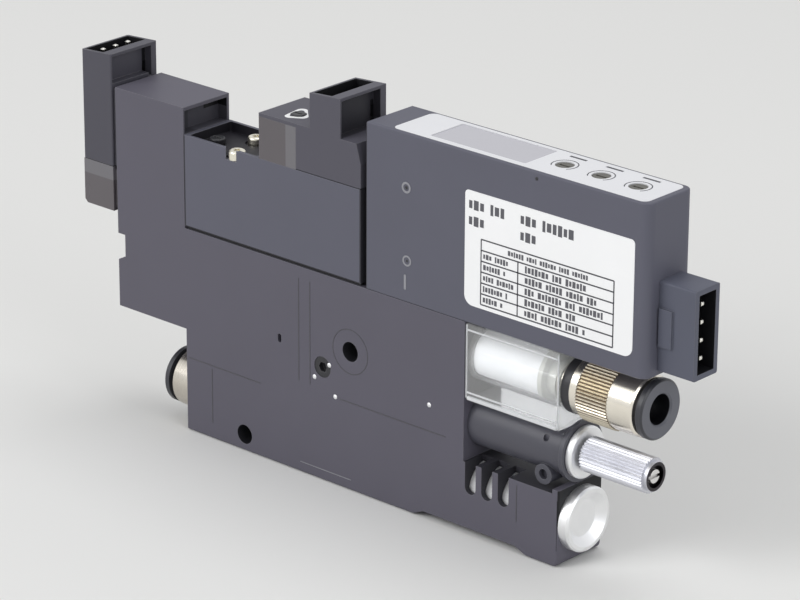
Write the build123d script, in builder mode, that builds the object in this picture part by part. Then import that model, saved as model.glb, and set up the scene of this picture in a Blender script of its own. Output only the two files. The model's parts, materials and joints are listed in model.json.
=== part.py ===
"""A compact vacuum ejector unit.

One slim moulded body carries a supply port, an ejector nozzle, a filter, a needle valve and a silencer.
Two solenoid valves and a pressure switch are stacked along its top.
The origin lies midway between the two mounting holes, in the middle of the unit's width.
X runs from the supply end to the vacuum end, Y across the width and Z up.
The label side faces -Y. All sizes are in millimetres.
"""

import os
from math import cos, pi, sin

from build123d import *

os.makedirs("parts", exist_ok=True)

# Clearances
slip = 0.05        # radial, between a moving piece and its guide
seat = 0.03        # radial, between a fixed piece and its seat
reveal = 0.1       # between two housings that stand side by side
bevel = 0.3        # small bevel round the rim of a turned piece
step_in = 0.25     # by which a piece stands back from the body's side faces

# Main body: outline seen from the side
unit_w = 10.5
hole_d = 3.3
hole_span_x = 23.4
hole_span_z = 20.9
heel_x = -24.8
tower_len = 15.6
tower_top = 42.5
seam_z = 22.0
overhang_z = 4.5
floor_wall = 2.6
silencer_roof = 0.9
step_x = 35.5
nose_len = 19.2
nose_wall = 1.2
nose_rise = 0.7
relief_x0 = 24.7
relief_len = 24.0
relief_depth = 1.1
relief_ramp = 2.6
notch_top = 17.3
notch_h = 3.8
notch_depth = 1.6
foot_round = 1.0
edge_round = 0.4
lip_top = 0.6
lip_near = 0.3
lip_far = 0.5
lip_depth = 2.0
lip_slot_y = 1.0
lip_slot_w = 3.2
lip_slot_h = 0.5
lip_slot_depth = 0.6

# Ejector line, low in the body: supply port, nozzle, diffuser, silencer
supply_bore_d = 8.2
supply_bore_len = 9.0
riser_d = 1.8
feed_x = 6.5
nozzle_d = 5.0
nozzle_len = 12.0
nozzle_tip_len = 2.4
nozzle_inlet_d = 2.5
nozzle_throat_d = 0.7
nozzle_mouth_d = 1.0
nozzle_tip_d = 1.4
nozzle_groove = 1.5
suction_len = 4.6
diffuser_d = 6.0
diffuser_len = 10.0
diffuser_throat_d = 1.4
diffuser_mouth_d = 2.8
diffuser_groove = 3.0
ring_cord = 1.0
ring_groove = 0.8
groove_wall = 0.7
silencer_d = 8.6
silencer_len = 18.9
silencer_bore_d = 4.4
silencer_wall = 0.2
vent_count = 3
vent_w = 2.2
vent_pitch = 3.35
vent_x = 1.5
vent_depth_y = 4.2

# Exhaust cap
cap_d = 10.5
cap_t = 1.8
cap_dish_d = 8.8
cap_dish_floor_d = 6.0
cap_dish_depth = 1.2
cap_spigot_len = 2.6
cap_spigot_wall = 0.8
cap_bevel = 0.3
cap_web = 0.4

# Suction line, high in the body: check valve, filter, vacuum port
suction_rise = 0.15
suction_d = 2.4
valve_bore_d = 5.0
valve_bore_len = 9.0
stem_bore_d = 2.6
seat_ring_len = 2.0
seat_ring_hole_d = 2.6
poppet_d = 4.0
poppet_t = 1.0
poppet_stem_d = 1.5
poppet_stem_len = 6.6
poppet_lift = 1.2
poppet_gap = 0.1
poppet_spring_d = 4.2

# Filter
case_top_gap = 0.2
case_h = 12.7
case_setback = 0.6
case_bore_d = 8.8
case_end_wall = 1.2
element_d = 8.0
element_bore_d = 4.6
element_len = 13.0
filter_ring_t = 0.9
spacer_len = 3.0
spacer_hole_d = 3.4
spacer_rim_t = 0.8
spacer_rim_step = 1.2

# Push-in fittings for a 4 mm tube, the same inside at both ports
tube_d = 4.0
tube_slack = 0.05
tube_depth = 9.5
fitting_mouth_d = 6.6
fitting_mouth_len = 7.2
sleeve_d = 6.0
sleeve_bore_d = 4.8
sleeve_flange_d = 9.6
sleeve_flange_t = 1.1
sleeve_len = 3.4
sleeve_travel = 0.7
claw_len = 1.2
claw_count = 6
claw_sheet = 0.25
claw_gap = 0.3
tube_seal_len = 1.6
flow_d = 2.6

# Outside of the two fittings
supply_head_d = 9.8
supply_head_len = 4.1
collar_d = 9.4
collar_t = 1.6
shoulder_d = 9.4
shoulder_t = 1.5
knurl_d = 10.3
knurl_len = 5.9
knurl_teeth = 56
knurl_depth = 0.3
barrel_end_d = 9.8
barrel_end_len = 4.7
spigot_d = 6.0

# Needle valve
needle_barrel_d = 8.8
needle_gap = 0.1
sill_gap = 1.4
needle_flange_d = 9.8
needle_flange_t = 0.7
needle_ear_d = 3.3
needle_ear_drop = 3.65
needle_bore_d = 3.0
needle_chamber_d = 5.0
needle_chamber_len = 5.5
gland_d = 4.8
gland_len = 3.0
gland_setback = 5.3
needle_cone_len = 2.5
needle_tip_d = 0.9
lock_nut_d = 8.4
lock_nut_t = 1.0
lock_nut_play = 0.35
knob_d = 5.7
knob_len = 12.5
knob_rim_d = 4.7
knob_rim_len = 0.7
knob_neck = 0.5
knob_teeth = 32
knob_tooth_depth = 0.25
knob_end_d = 3.6
knob_end_depth = 0.9
knob_stub_d = 2.2
knob_stub_drop = 0.2
knob_slot_w = 0.5
knob_slot_depth = 0.5
upper_pin_d = 1.0
upper_pin_rise = 2.2
lower_pin_d = 1.6
pin_drop = 0.9
pin_len = 2.6
pin_setback = 4.0

# Blanking plug on the label side
plug_x = 5.7
plug_z = 6.2
plug_d = 3.5
plug_len = 2.4
plug_hex_depth = 1.0
plug_hex_r = 0.9
vent_slot_x = -3.7
vent_slot_z = 8.6
vent_slot_w = 0.8
vent_slot_h = 1.5
vent_slot_depth = 1.2

# Valve stack
gasket_t = 0.4
gasket_inset = 0.4
valve_len = 38.7
valve_h = 15.6
spool_z = 29.4
spool_bore_d = 4.2
spool_rod_d = 2.0
spool_land_len = 3.2
spool_land_count = 4
spool_len = 30.0
spool_travel = 1.5
spool_spring_len = 3.0
spool_spring_d = 3.6
pocket_inset_x = 0.8
pocket_end_wall = 1.0
pocket_wall = 0.55
pocket_depth = 1.6
pocket_corner = 0.3
screw_setback = 9.45
screw_skew_x = 2.5
screw_near_y = 3.85
screw_far_y = 3.1
screw_head_d = 2.8
screw_head_h = 1.5
screw_head_drop = 0.4
screw_head_room = 0.4
screw_head_dome = 0.4
screw_d = 1.6
screw_grip = 5.0
screw_slot_w = 0.4
screw_slot_depth = 0.4
supply_button_setback = 3.9
supply_button_y = -1.4
supply_button_d = 2.6
supply_button_h = 3.3
supply_button_well = 2.9
button_travel = 0.6
button_slot_w = 0.4
button_slot_depth = 0.35

# Supply solenoid, upright in the tower
coil_cavity_z0 = 24.0
coil_cavity_h = 15.4
cavity_wall = 0.95
cavity_end_wall = 3.0
yoke_t = 1.0
supply_coil_d = 8.0
supply_bobbin_bore_d = 3.0
bobbin_wall = 0.5
core_share_len = 4.0
supply_plunger_d = 2.8
supply_plunger_len = 7.6
plunger_travel = 0.6
plunger_pocket = 2.5
plunger_guide = 1.0
supply_spring_d = 2.2
spring_wire = 0.35

# Sockets: a column with an open box at its top
column_len = 6.8
column_gap = 0.9
neck_inset = 0.6
column_rise = 5.3
lens_z0 = 20.9
lens_h = 7.7
lens_wall = 1.2
lens_bevel = 0.6
socket_wall = 0.5
socket_depth = 6.0
socket_fall = 0.45
socket_round = 0.3
socket_pin_w = 0.64
socket_pin_pitch = 2.8
socket_pin_count = 3
supply_pin_drop = 0.35
release_pin_drop = 2.8
socket_pin_root = 0.6
socket_pin_bevel = 0.15
latch_wall = 2.2
latch_depth = 1.5
latch_near_frame = 0.3
latch_far_frame = 1.3
latch_top_frame = 0.5
latch_foot = 0.3
latch_slot_w = 0.7
latch_slot_h = 2.2
latch_slot_drop = 3.4

# Release valve housing on top of the valve body
release_len = 21.8
release_h = 7.6
release_socket_setback = 11.0
release_socket_len = 6.5
release_socket_rise = 6.2
release_nose_drop = 0.3
release_slope_len = 0.9
release_slope_h = 3.2
release_roof = 0.6
release_lens_len = 2.9
release_cheek_len = 5.1
release_cheek_t = 0.9
release_coil_rise = 3.1
release_bore_d = 5.2
release_coil_len = 9.6
release_plunger_d = 2.0
release_plunger_len = 6.0
release_button_setback = 5.2
release_button_y = -1.6
release_button_d = 2.4
release_button_h = 1.2
release_button_well = 1.5
release_button_travel = 0.4

# Pressure switch
switch_gap = 1.2
switch_len = 55.5
switch_h = 27.5
switch_floor = 1.4
switch_corner = 1.6
switch_top_round = 0.3
seam_bevel = 0.15
panel_x0 = 4.8
panel_margin = 1.1
panel_w = 9.5
panel_t = 0.8
panel_corner = 1.2
ledge = 0.6
shelf = 0.6
window_x0 = 6.8
window_gap = 4.7
window_w = 7.6
window_t = 0.6
window_recess = 0.1
window_corner = 0.4
window_offset_y = 0.2
trimmer_end_gap = 5.2
trimmer_pitch = 7.0
trimmer_count = 3
trimmer_d = 2.9
trimmer_h = 4.0
trimmer_slot_len = 2.0
trimmer_slot_w = 0.5
trimmer_slot_depth = 0.4
trimmer_drop = 0.15
board_t = 1.0
board_gap = 0.1
display_w = 6.4
display_inset = 0.8
cell_w = 7.0
cell_h = 4.0
cell_lid_d = 4.8
cell_lid_h = 1.2
cell_stem_d = 3.0
cell_stem_drop = 1.5
cell_passage_d = 1.0
cell_passage_rise = 1.0
cell_x0 = 13.0

# Pressure switch plug, on the end face
outlet_len = 6.8
outlet_w = 5.6
outlet_h = 14.2
outlet_z0 = 0.8
outlet_offset_y = 0.45
outlet_wall = 0.85
outlet_depth = 5.6
outlet_pin_count = 4
outlet_pin_pitch = 2.85
outlet_pin_drop = 0.8
outlet_lug_x = 0.3
outlet_lug_len = 2.4
outlet_lug_h = 6.0
outlet_lug_t = 0.4

# Places that follow from the sizes above
half_w = unit_w / 2
rear_x = heel_x - tower_len
nose_x = step_x + nose_len
case_z = seam_z - case_top_gap - case_h
suction_z = case_z + case_h / 2 + suction_rise
needle_z = case_z - needle_gap - needle_barrel_d / 2
sill_z = needle_z - needle_barrel_d / 2 - sill_gap
ejector_z = sill_z - silencer_roof - silencer_d / 2
base_z = ejector_z - silencer_d / 2 - floor_wall
column_top = tower_top + column_rise
valve_z = seam_z + gasket_t
valve_top = valve_z + valve_h
valve_front = heel_x + valve_len
release_x0 = valve_front - release_len
release_top = valve_top + release_h
release_coil_z = valve_top + release_coil_rise
switch_x = valve_front + switch_gap
switch_front = switch_x + switch_len
switch_top = seam_z + switch_h
riser_x = heel_x + supply_bore_len - riser_d
nozzle_x = feed_x + riser_d / 2 + seat
chamber_x = nozzle_x + nozzle_len
diffuser_x = chamber_x + suction_len
silencer_x = nose_x - silencer_len
spacer_x = step_x + filter_ring_t + element_len
case_end_x = nose_x - case_setback
vacuum_head_x = case_end_x + reveal + collar_t + shoulder_t
vacuum_face_x = vacuum_head_x + knurl_len + barrel_end_len
supply_face_x = heel_x - supply_head_len
screw_x = heel_x + screw_setback
screw_places = [
    (screw_x + screw_skew_x / 2, -screw_near_y),
    (screw_x - screw_skew_x / 2, screw_far_y),
]
along_minus_x = -1
along_plus_x = 1


def block(x_range, y_range, z_range, mode=Mode.ADD):
    """A square-edged block, or the space of one, between two corners."""
    low, high = zip(x_range, y_range, z_range)
    sizes = [top - bottom for bottom, top in zip(low, high)]
    centre = [(top + bottom) / 2 for bottom, top in zip(low, high)]
    with Locations(tuple(centre)):
        Box(*sizes, mode=mode)


def rod_x(x_range, height, diameter, side=0.0, mode=Mode.ADD):
    """A round bar along X, or the bore for one."""
    middle = (x_range[0] + x_range[1]) / 2
    with Locations(Location((middle, side, height), (0, 90, 0))):
        Cylinder(diameter / 2, abs(x_range[1] - x_range[0]), mode=mode)


def rod_y(y_range, x, z, diameter, mode=Mode.ADD):
    """A round bar across the unit, or the bore for one."""
    middle = (y_range[0] + y_range[1]) / 2
    with Locations(Location((x, middle, z), (90, 0, 0))):
        Cylinder(diameter / 2, y_range[1] - y_range[0], mode=mode)


def rod_z(z_range, x, y, diameter, mode=Mode.ADD):
    """An upright round bar, or the bore for one."""
    middle = (z_range[0] + z_range[1]) / 2
    with Locations((x, y, middle)):
        Cylinder(diameter / 2, z_range[1] - z_range[0], mode=mode)


def turned(outline, height):
    """A piece turned about a line along X; the outline's points are (x, radius)."""
    with BuildPart() as piece:
        with BuildSketch(Plane.XZ):
            with BuildLine():
                Polyline(*[(x, height + radius) for x, radius in outline], close=True)
            make_face()
        revolve(axis=Axis((0, 0, height), (1, 0, 0)))
    return piece.part


def toothed(teeth, diameter, depth):
    """The corners of a straight knurl's section, teeth and grooves in turn."""
    radii = [diameter / 2, diameter / 2 - depth]
    step = pi / teeth
    return [(radii[i % 2] * cos(i * step), radii[i % 2] * sin(i * step)) for i in range(2 * teeth)]


def coil_spring_x(x_range, height, diameter):
    """A short compression spring along X, drawn as its closed outer tube."""
    outer = diameter / 2
    inner = outer - spring_wire
    corners = [(x_range[0], inner), (x_range[1], inner), (x_range[1], outer), (x_range[0], outer)]
    return turned(corners, height)


def save(part, label):
    """Names a finished piece and writes it."""
    part.label = label
    export_step(part, f"parts/{label}.step")


# The main body is one moulding: the side outline first, then everything bored into it
with BuildPart() as main_body:
    with BuildSketch(Plane.XZ) as body_side:
        relief_x1 = relief_x0 + relief_len
        with BuildLine():
            Polyline(
                (heel_x, base_z),
                (relief_x0, base_z),
                (relief_x0 + relief_ramp, base_z + relief_depth),
                (relief_x1 - relief_ramp, base_z + relief_depth),
                (relief_x1, base_z),
                (nose_x, base_z),
                (nose_x, sill_z + nose_rise),
                (nose_x - nose_wall, sill_z + nose_rise),
                (nose_x - nose_wall, sill_z),
                (step_x, sill_z),
                (step_x, seam_z),
                (heel_x, seam_z),
                (heel_x, tower_top),
                (rear_x, tower_top),
                (rear_x, notch_top),
                (rear_x + notch_depth, notch_top),
                (rear_x + notch_depth, notch_top - notch_h),
                (rear_x, notch_top - notch_h - notch_depth / 2),
                (rear_x, overhang_z),
                (heel_x, overhang_z),
                close=True,
            )
        make_face()
        foot_corner = body_side.vertices().group_by(Axis.X)[-1].sort_by(Axis.Y)[0]
        fillet(foot_corner, foot_round)
    extrude(amount=half_w, both=True)
    long_edges = main_body.edges().filter_by(Axis.X).group_by(Axis.Z)[0]
    fillet(long_edges, edge_round)

    # Two holes across the unit for the mounting screws
    for end in (-1, 1):
        rod_y((-unit_w, unit_w), end * hole_span_x / 2, end * hole_span_z / 2, hole_d, Mode.SUBTRACT)

    # Supply port, its riser to the valve, and the feed from the valve down to the nozzle
    rod_x((heel_x, heel_x + supply_bore_len), ejector_z, supply_bore_d, mode=Mode.SUBTRACT)
    rod_z((ejector_z, seam_z), riser_x, 0, riser_d, Mode.SUBTRACT)
    rod_z((ejector_z, seam_z), feed_x, 0, riser_d, Mode.SUBTRACT)

    # The ejector line is bored from the nose in steps that get smaller
    rod_x((silencer_x, nose_x), ejector_z, silencer_d, mode=Mode.SUBTRACT)
    rod_x((chamber_x - nozzle_tip_len, silencer_x), ejector_z, diffuser_d + 2 * seat, mode=Mode.SUBTRACT)
    rod_x((nozzle_x, silencer_x), ejector_z, nozzle_d + 2 * seat, mode=Mode.SUBTRACT)
    rod_x((feed_x - riser_d, nozzle_x), ejector_z, nozzle_d - 2 * ring_cord, mode=Mode.SUBTRACT)

    # Suction passage up to the check valve's bore
    suction_x = chamber_x + suction_len / 2
    rod_z((ejector_z, suction_z), suction_x, 0, suction_d, Mode.SUBTRACT)
    bore_end = step_x - valve_bore_len
    rod_x((bore_end, step_x), suction_z, valve_bore_d, mode=Mode.SUBTRACT)
    rod_x((suction_x - suction_d / 2, bore_end), suction_z, stem_bore_d, mode=Mode.SUBTRACT)

    # Chamber for the needle's cone
    rod_x((step_x - needle_chamber_len, step_x), needle_z, needle_chamber_d, mode=Mode.SUBTRACT)

    # Vents from the top of the nose into the silencer's bore
    vent_floor = ejector_z + vent_w / 2
    vent_mid_x = step_x + vent_x + vent_pitch * (vent_count - 1) / 2
    with BuildSketch(Plane.XZ.offset(half_w)):
        with Locations((vent_mid_x, vent_floor)):
            with GridLocations(vent_pitch, 0, vent_count, 1):
                Circle(vent_w / 2)
                Rectangle(vent_w, sill_z - vent_floor, align=(Align.CENTER, Align.MIN))
    extrude(amount=-vent_depth_y, mode=Mode.SUBTRACT)

    # Cavity for the solenoid, open to the rear, with a guide hole down for the plunger
    block(
        (rear_x, heel_x - cavity_end_wall),
        (-half_w + cavity_wall, half_w - cavity_wall),
        (coil_cavity_z0, coil_cavity_z0 + coil_cavity_h),
        Mode.SUBTRACT,
    )
    coil_x = (rear_x + heel_x - cavity_end_wall) / 2
    guide_z = coil_cavity_z0 - plunger_guide
    rod_z((guide_z, coil_cavity_z0), coil_x, 0, supply_plunger_d + 2 * slip, Mode.SUBTRACT)

    # Sunk panel in the tower's front face, above the valve, with a slot under its lip
    lip_z = tower_top - lip_top
    lip_back = heel_x - lip_depth
    block((lip_back, heel_x), (-half_w + lip_near, half_w - lip_far), (valve_top, lip_z), Mode.SUBTRACT)
    block(
        (lip_back - lip_slot_depth, lip_back),
        (lip_slot_y, lip_slot_y + lip_slot_w),
        (lip_z - lip_slot_h, lip_z),
        Mode.SUBTRACT,
    )

    # Seat for the pressure cell's stem, with its passage down to the check valve's bore
    cell_x = switch_x + cell_x0
    rod_z((seam_z - cell_stem_drop - seat, seam_z), cell_x, 0, cell_stem_d + 2 * seat, Mode.SUBTRACT)
    rod_z((suction_z, seam_z), cell_x, 0, cell_passage_d, Mode.SUBTRACT)

    # A small upright slot on the label side
    with BuildSketch(Plane.XZ.offset(half_w)):
        with Locations((vent_slot_x, vent_slot_z)):
            SlotOverall(vent_slot_h, vent_slot_w, rotation=90)
    extrude(amount=-vent_slot_depth, mode=Mode.SUBTRACT)

    # Seats for the blanking plug and the valve screws
    rod_y((-half_w, -half_w + plug_len), plug_x, plug_z, plug_d + 2 * seat, Mode.SUBTRACT)
    for x, y in screw_places:
        rod_z((seam_z - screw_grip - seat, seam_z), x, y, screw_d + 2 * seat, Mode.SUBTRACT)

save(main_body.part, "main_body")


# Push-in fittings: every x below is measured inwards from the outer face of the fitting
def fitting_bore(face_x, inward):
    """The space inside a fitting: mouth, step for the seal, tube seat and flow hole."""
    mouth_end = face_x + inward * fitting_mouth_len
    tube_end = face_x + inward * tube_depth
    far_end = face_x + inward * 3 * tube_depth
    tube_bore = (tube_d + 2 * tube_slack) / 2
    return [
        (face_x - inward, fitting_mouth_d / 2),
        (mouth_end, fitting_mouth_d / 2),
        (mouth_end, tube_bore),
        (tube_end, tube_bore),
        (tube_end, flow_d / 2),
        (far_end, flow_d / 2),
        (far_end, 0),
        (face_x - inward, 0),
    ]


def release_sleeve(face_x, inward, height):
    """The collar that is pressed in to let the tube go; it stands off by its travel."""
    flange_in = face_x - inward * (sleeve_travel + slip)
    flange_out = flange_in - inward * sleeve_flange_t
    tip = face_x + inward * sleeve_len
    bore = sleeve_bore_d / 2
    outline = [
        (flange_out, bore + bevel),
        (flange_out, sleeve_flange_d / 2 - bevel),
        (flange_out + inward * bevel, sleeve_flange_d / 2),
        (flange_in, sleeve_flange_d / 2),
        (flange_in, sleeve_d / 2),
        (tip, sleeve_d / 2),
        (tip, bore),
        (flange_out + inward * bevel, bore),
    ]
    return turned(outline, height)


def claw_ring(face_x, inward, height):
    """The thin steel ring whose claws grip the tube, behind the sleeve's tip."""
    start = face_x + inward * (sleeve_len + sleeve_travel + reveal)
    end = start + inward * claw_len
    outer = fitting_mouth_d / 2 - seat
    inner = tube_d / 2 + tube_slack + seat
    with BuildPart() as ring:
        add(
            turned(
                [
                    (end, outer),
                    (start, outer),
                    (start, outer - claw_sheet),
                    (end - inward * claw_sheet, inner),
                    (end, inner),
                ],
                height,
            )
        )
        middle = (start + end) / 2
        for i in range(claw_count):
            turn = 360 / claw_count * i
            with Locations(Location((middle, 0, height), (turn, 0, 0))):
                with Locations((0, 0, tube_d / 2)):
                    Box(2 * claw_len, claw_gap, claw_len, mode=Mode.SUBTRACT)
    return ring.part


def tube_seal(face_x, inward, height):
    """The rubber ring that seals on the tube, at the bottom of the mouth."""
    end = face_x + inward * fitting_mouth_len
    start = end - inward * (tube_seal_len - reveal)
    outer = fitting_mouth_d / 2 - seat
    inner = tube_d / 2 + tube_slack + seat
    return turned([(start, outer - bevel), (start, inner + bevel), (end, inner), (end, outer)], height)


# Supply fitting, pressed into the heel of the body
with BuildPart() as supply_fitting:
    head = supply_head_d / 2
    stem = supply_bore_d / 2 - seat
    stem_end = riser_x - riser_d / 2 - reveal
    groove = stem - ring_groove
    groove_x = supply_face_x + fitting_mouth_len + groove_wall
    add(
        turned(
            [
                (supply_face_x, 0),
                (supply_face_x, head - bevel),
                (supply_face_x + bevel, head),
                (heel_x, head),
                (heel_x, stem),
                (groove_x, stem),
                (groove_x, groove),
                (groove_x + ring_cord, groove),
                (groove_x + ring_cord, stem),
                (stem_end, stem),
                (stem_end, 0),
            ],
            ejector_z,
        )
    )
    add(turned(fitting_bore(supply_face_x, along_plus_x), ejector_z), mode=Mode.SUBTRACT)

save(supply_fitting.part, "supply_fitting")
save(release_sleeve(supply_face_x, along_plus_x, ejector_z), "supply_release_sleeve")
save(claw_ring(supply_face_x, along_plus_x, ejector_z), "supply_claw_ring")


# Vacuum fitting: spigot, shoulder, knurled grip and smooth end, in one turned piece
with BuildPart() as vacuum_fitting:
    end = barrel_end_d / 2
    spigot_x = spacer_x + spacer_len + seat
    collar_end = case_end_x + reveal + collar_t
    add(
        turned(
            [
                (spigot_x, 0),
                (spigot_x, spigot_d / 2),
                (collar_end, spigot_d / 2),
                (collar_end, shoulder_d / 2),
                (vacuum_head_x, shoulder_d / 2),
                (vacuum_head_x, end),
                (vacuum_face_x - bevel, end),
                (vacuum_face_x, end - bevel),
                (vacuum_face_x, 0),
            ],
            suction_z,
        )
    )
    with BuildSketch(Plane.YZ.offset(vacuum_head_x)):
        with Locations((0, suction_z)):
            Polygon(*toothed(knurl_teeth, knurl_d, knurl_depth), align=None)
    extrude(amount=knurl_len)
    add(turned(fitting_bore(vacuum_face_x, along_minus_x), suction_z), mode=Mode.SUBTRACT)

save(vacuum_fitting.part, "vacuum_fitting")
save(release_sleeve(vacuum_face_x, along_minus_x, suction_z), "vacuum_release_sleeve")
save(claw_ring(vacuum_face_x, along_minus_x, suction_z), "vacuum_claw_ring")

with BuildPart() as tube_seals:
    add(tube_seal(supply_face_x, along_plus_x, ejector_z))
    add(tube_seal(vacuum_face_x, along_minus_x, suction_z))

save(tube_seals.part, "tube_seals")

with BuildPart() as vacuum_collar:
    collar_x0 = case_end_x + reveal
    with BuildSketch(Plane.YZ.offset(collar_x0)):
        with Locations((0, suction_z)):
            Circle(collar_d / 2)
            Circle(spigot_d / 2 + seat, mode=Mode.SUBTRACT)
    extrude(amount=collar_t)

save(vacuum_collar.part, "vacuum_collar")


# Ejector nozzle: a stepped body with a throat that narrows and then opens again
with BuildPart() as nozzle:
    body = nozzle_d / 2
    groove_x = nozzle_x + nozzle_groove
    tip_x = chamber_x - nozzle_tip_len
    add(
        turned(
            [
                (nozzle_x, nozzle_inlet_d / 2),
                (nozzle_x, body),
                (groove_x, body),
                (groove_x, body - ring_groove),
                (groove_x + ring_cord, body - ring_groove),
                (groove_x + ring_cord, body),
                (tip_x, body),
                (chamber_x, nozzle_tip_d / 2),
                (chamber_x, nozzle_mouth_d / 2),
                (tip_x, nozzle_throat_d / 2),
            ],
            ejector_z,
        )
    )

save(nozzle.part, "nozzle")

with BuildPart() as diffuser:
    body = diffuser_d / 2
    groove_x = diffuser_x + diffuser_groove
    diffuser_end = diffuser_x + diffuser_len
    add(
        turned(
            [
                (diffuser_x, body - bevel),
                (diffuser_x, body),
                (groove_x, body),
                (groove_x, body - ring_groove),
                (groove_x + ring_cord, body - ring_groove),
                (groove_x + ring_cord, body),
                (diffuser_end, body),
                (diffuser_end, diffuser_mouth_d / 2),
                (diffuser_x + diffuser_len / 2, diffuser_throat_d / 2),
                (diffuser_x + diffuser_len / 4, diffuser_throat_d / 2),
            ],
            ejector_z,
        )
    )

save(diffuser.part, "diffuser")


def o_ring(x, height, inner_r, outer_r):
    """A square-cut rubber ring, lying in its groove from x onwards."""
    width = ring_cord - reveal
    start = x + reveal / 2
    corners = [(start, inner_r), (start, outer_r), (start + width, outer_r), (start + width, inner_r)]
    return turned(corners, height)


with BuildPart() as ejector_seals:
    add(o_ring(supply_face_x + fitting_mouth_len + groove_wall, ejector_z, groove, stem + seat))
    add(o_ring(nozzle_x + nozzle_groove, ejector_z, nozzle_d / 2 - ring_groove, nozzle_d / 2))
    add(o_ring(diffuser_x + diffuser_groove, ejector_z, diffuser_d / 2 - ring_groove, diffuser_d / 2))

save(ejector_seals.part, "ejector_seals")


# Silencer felt and the cap that holds it
with BuildPart() as silencer_felt:
    felt_end = nose_x - cap_spigot_len
    with BuildSketch(Plane.YZ.offset(silencer_x)):
        with Locations((0, ejector_z)):
            Circle(silencer_d / 2 - silencer_wall)
            Circle(silencer_bore_d / 2, mode=Mode.SUBTRACT)
    extrude(amount=felt_end - silencer_x)

save(silencer_felt.part, "silencer_felt")

with BuildPart() as exhaust_cap:
    cap_x1 = nose_x + cap_t
    spigot = silencer_d / 2 - seat
    add(
        turned(
            [
                (nose_x - cap_spigot_len, spigot - cap_spigot_wall),
                (nose_x - cap_spigot_len, spigot),
                (nose_x, spigot),
                (nose_x, cap_d / 2),
                (cap_x1 - cap_bevel, cap_d / 2),
                (cap_x1, cap_d / 2 - cap_bevel),
                (cap_x1, cap_dish_d / 2),
                (cap_x1 - cap_dish_depth, cap_dish_floor_d / 2),
                (cap_x1 - cap_dish_depth, 0),
                (nose_x - cap_web, 0),
                (nose_x - cap_web, spigot - cap_spigot_wall),
            ],
            ejector_z,
        )
    )

save(exhaust_cap.part, "exhaust_cap")


# Check valve between the ejector and the filter
with BuildPart() as check_valve_seat:
    with BuildSketch(Plane.YZ.offset(step_x - seat_ring_len)):
        with Locations((0, suction_z)):
            Circle(valve_bore_d / 2 - seat)
            Circle(seat_ring_hole_d / 2, mode=Mode.SUBTRACT)
    extrude(amount=seat_ring_len)

save(check_valve_seat.part, "check_valve_seat")

with BuildPart() as check_valve_poppet:
    face_x = step_x - seat_ring_len - poppet_gap
    back_x = face_x - poppet_t
    stem_end = back_x - poppet_stem_len
    add(
        turned(
            [
                (face_x, 0),
                (face_x, poppet_d / 2 - bevel),
                (face_x - bevel, poppet_d / 2),
                (back_x, poppet_d / 2),
                (back_x, poppet_stem_d / 2),
                (stem_end, poppet_stem_d / 2),
                (stem_end, 0),
            ],
            suction_z,
        )
    )

save(check_valve_poppet.part, "check_valve_poppet")
spring_end = back_x - poppet_lift - reveal
save(coil_spring_x((bore_end, spring_end), suction_z, poppet_spring_d), "check_valve_spring")


# Filter: a clear block with a round bore, the white element, its ring and its spacer
with BuildPart() as filter_case:
    with BuildSketch(Plane.XY.offset(case_z)):
        case_len = case_end_x - step_x
        with Locations((step_x + case_len / 2, 0)):
            Rectangle(case_len, unit_w - 2 * step_in)
    extrude(amount=case_h)
    upright = filter_case.edges().filter_by(Axis.X)
    fillet(upright, edge_round)
    rod_x((step_x, case_end_x - case_end_wall), suction_z, case_bore_d, mode=Mode.SUBTRACT)
    rod_x((step_x, case_end_x), suction_z, spigot_d + 2 * seat, mode=Mode.SUBTRACT)

save(filter_case.part, "filter_case")

with BuildPart() as filter_element:
    with BuildSketch(Plane.YZ.offset(step_x + filter_ring_t)):
        with Locations((0, suction_z)):
            Circle(element_d / 2)
            Circle(element_bore_d / 2, mode=Mode.SUBTRACT)
    extrude(amount=element_len)

save(filter_element.part, "filter_element")

with BuildPart() as filter_ring:
    with BuildSketch(Plane.YZ.offset(step_x)):
        with Locations((0, suction_z)):
            Circle(case_bore_d / 2 - seat)
            Circle(valve_bore_d / 2 + seat, mode=Mode.SUBTRACT)
    extrude(amount=filter_ring_t)

save(filter_ring.part, "filter_ring")

with BuildPart() as filter_spacer:
    rim = case_bore_d / 2 - seat
    rim_x = spacer_x + spacer_rim_t
    add(
        turned(
            [
                (spacer_x, spacer_hole_d / 2),
                (spacer_x, rim),
                (rim_x, rim),
                (rim_x, rim - spacer_rim_step),
                (spacer_x + spacer_len, rim - spacer_rim_step),
                (spacer_x + spacer_len, spacer_hole_d / 2),
            ],
            suction_z,
        )
    )

save(filter_spacer.part, "filter_spacer")


# Needle valve: barrel with an ear for the lower pin, needle and knob, lock nut, gland ring, pins
flange_x = case_end_x + reveal
barrel_end_x = flange_x + needle_flange_t
pin_x = barrel_end_x - pin_setback
ear_z = needle_z - needle_ear_drop
with BuildPart() as needle_barrel:
    outer = needle_barrel_d / 2
    bore = needle_bore_d / 2 + slip
    gland_x1 = barrel_end_x - gland_setback
    add(
        turned(
            [
                (step_x, bore),
                (step_x, outer),
                (flange_x, outer),
                (flange_x, needle_flange_d / 2),
                (barrel_end_x, needle_flange_d / 2),
                (barrel_end_x, bore),
                (gland_x1, bore),
                (gland_x1, gland_d / 2),
                (gland_x1 - gland_len, gland_d / 2),
                (gland_x1 - gland_len, bore),
            ],
            needle_z,
        )
    )
    rod_y((-outer, 0), pin_x, ear_z, needle_ear_d)
    pins = [(needle_z + upper_pin_rise, upper_pin_d), (ear_z, lower_pin_d)]
    for pin_z, pin_d in pins:
        rod_y((-outer, -outer + pin_drop + pin_len), pin_x, pin_z, pin_d + 2 * seat, Mode.SUBTRACT)

save(needle_barrel.part, "needle_barrel")

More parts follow.
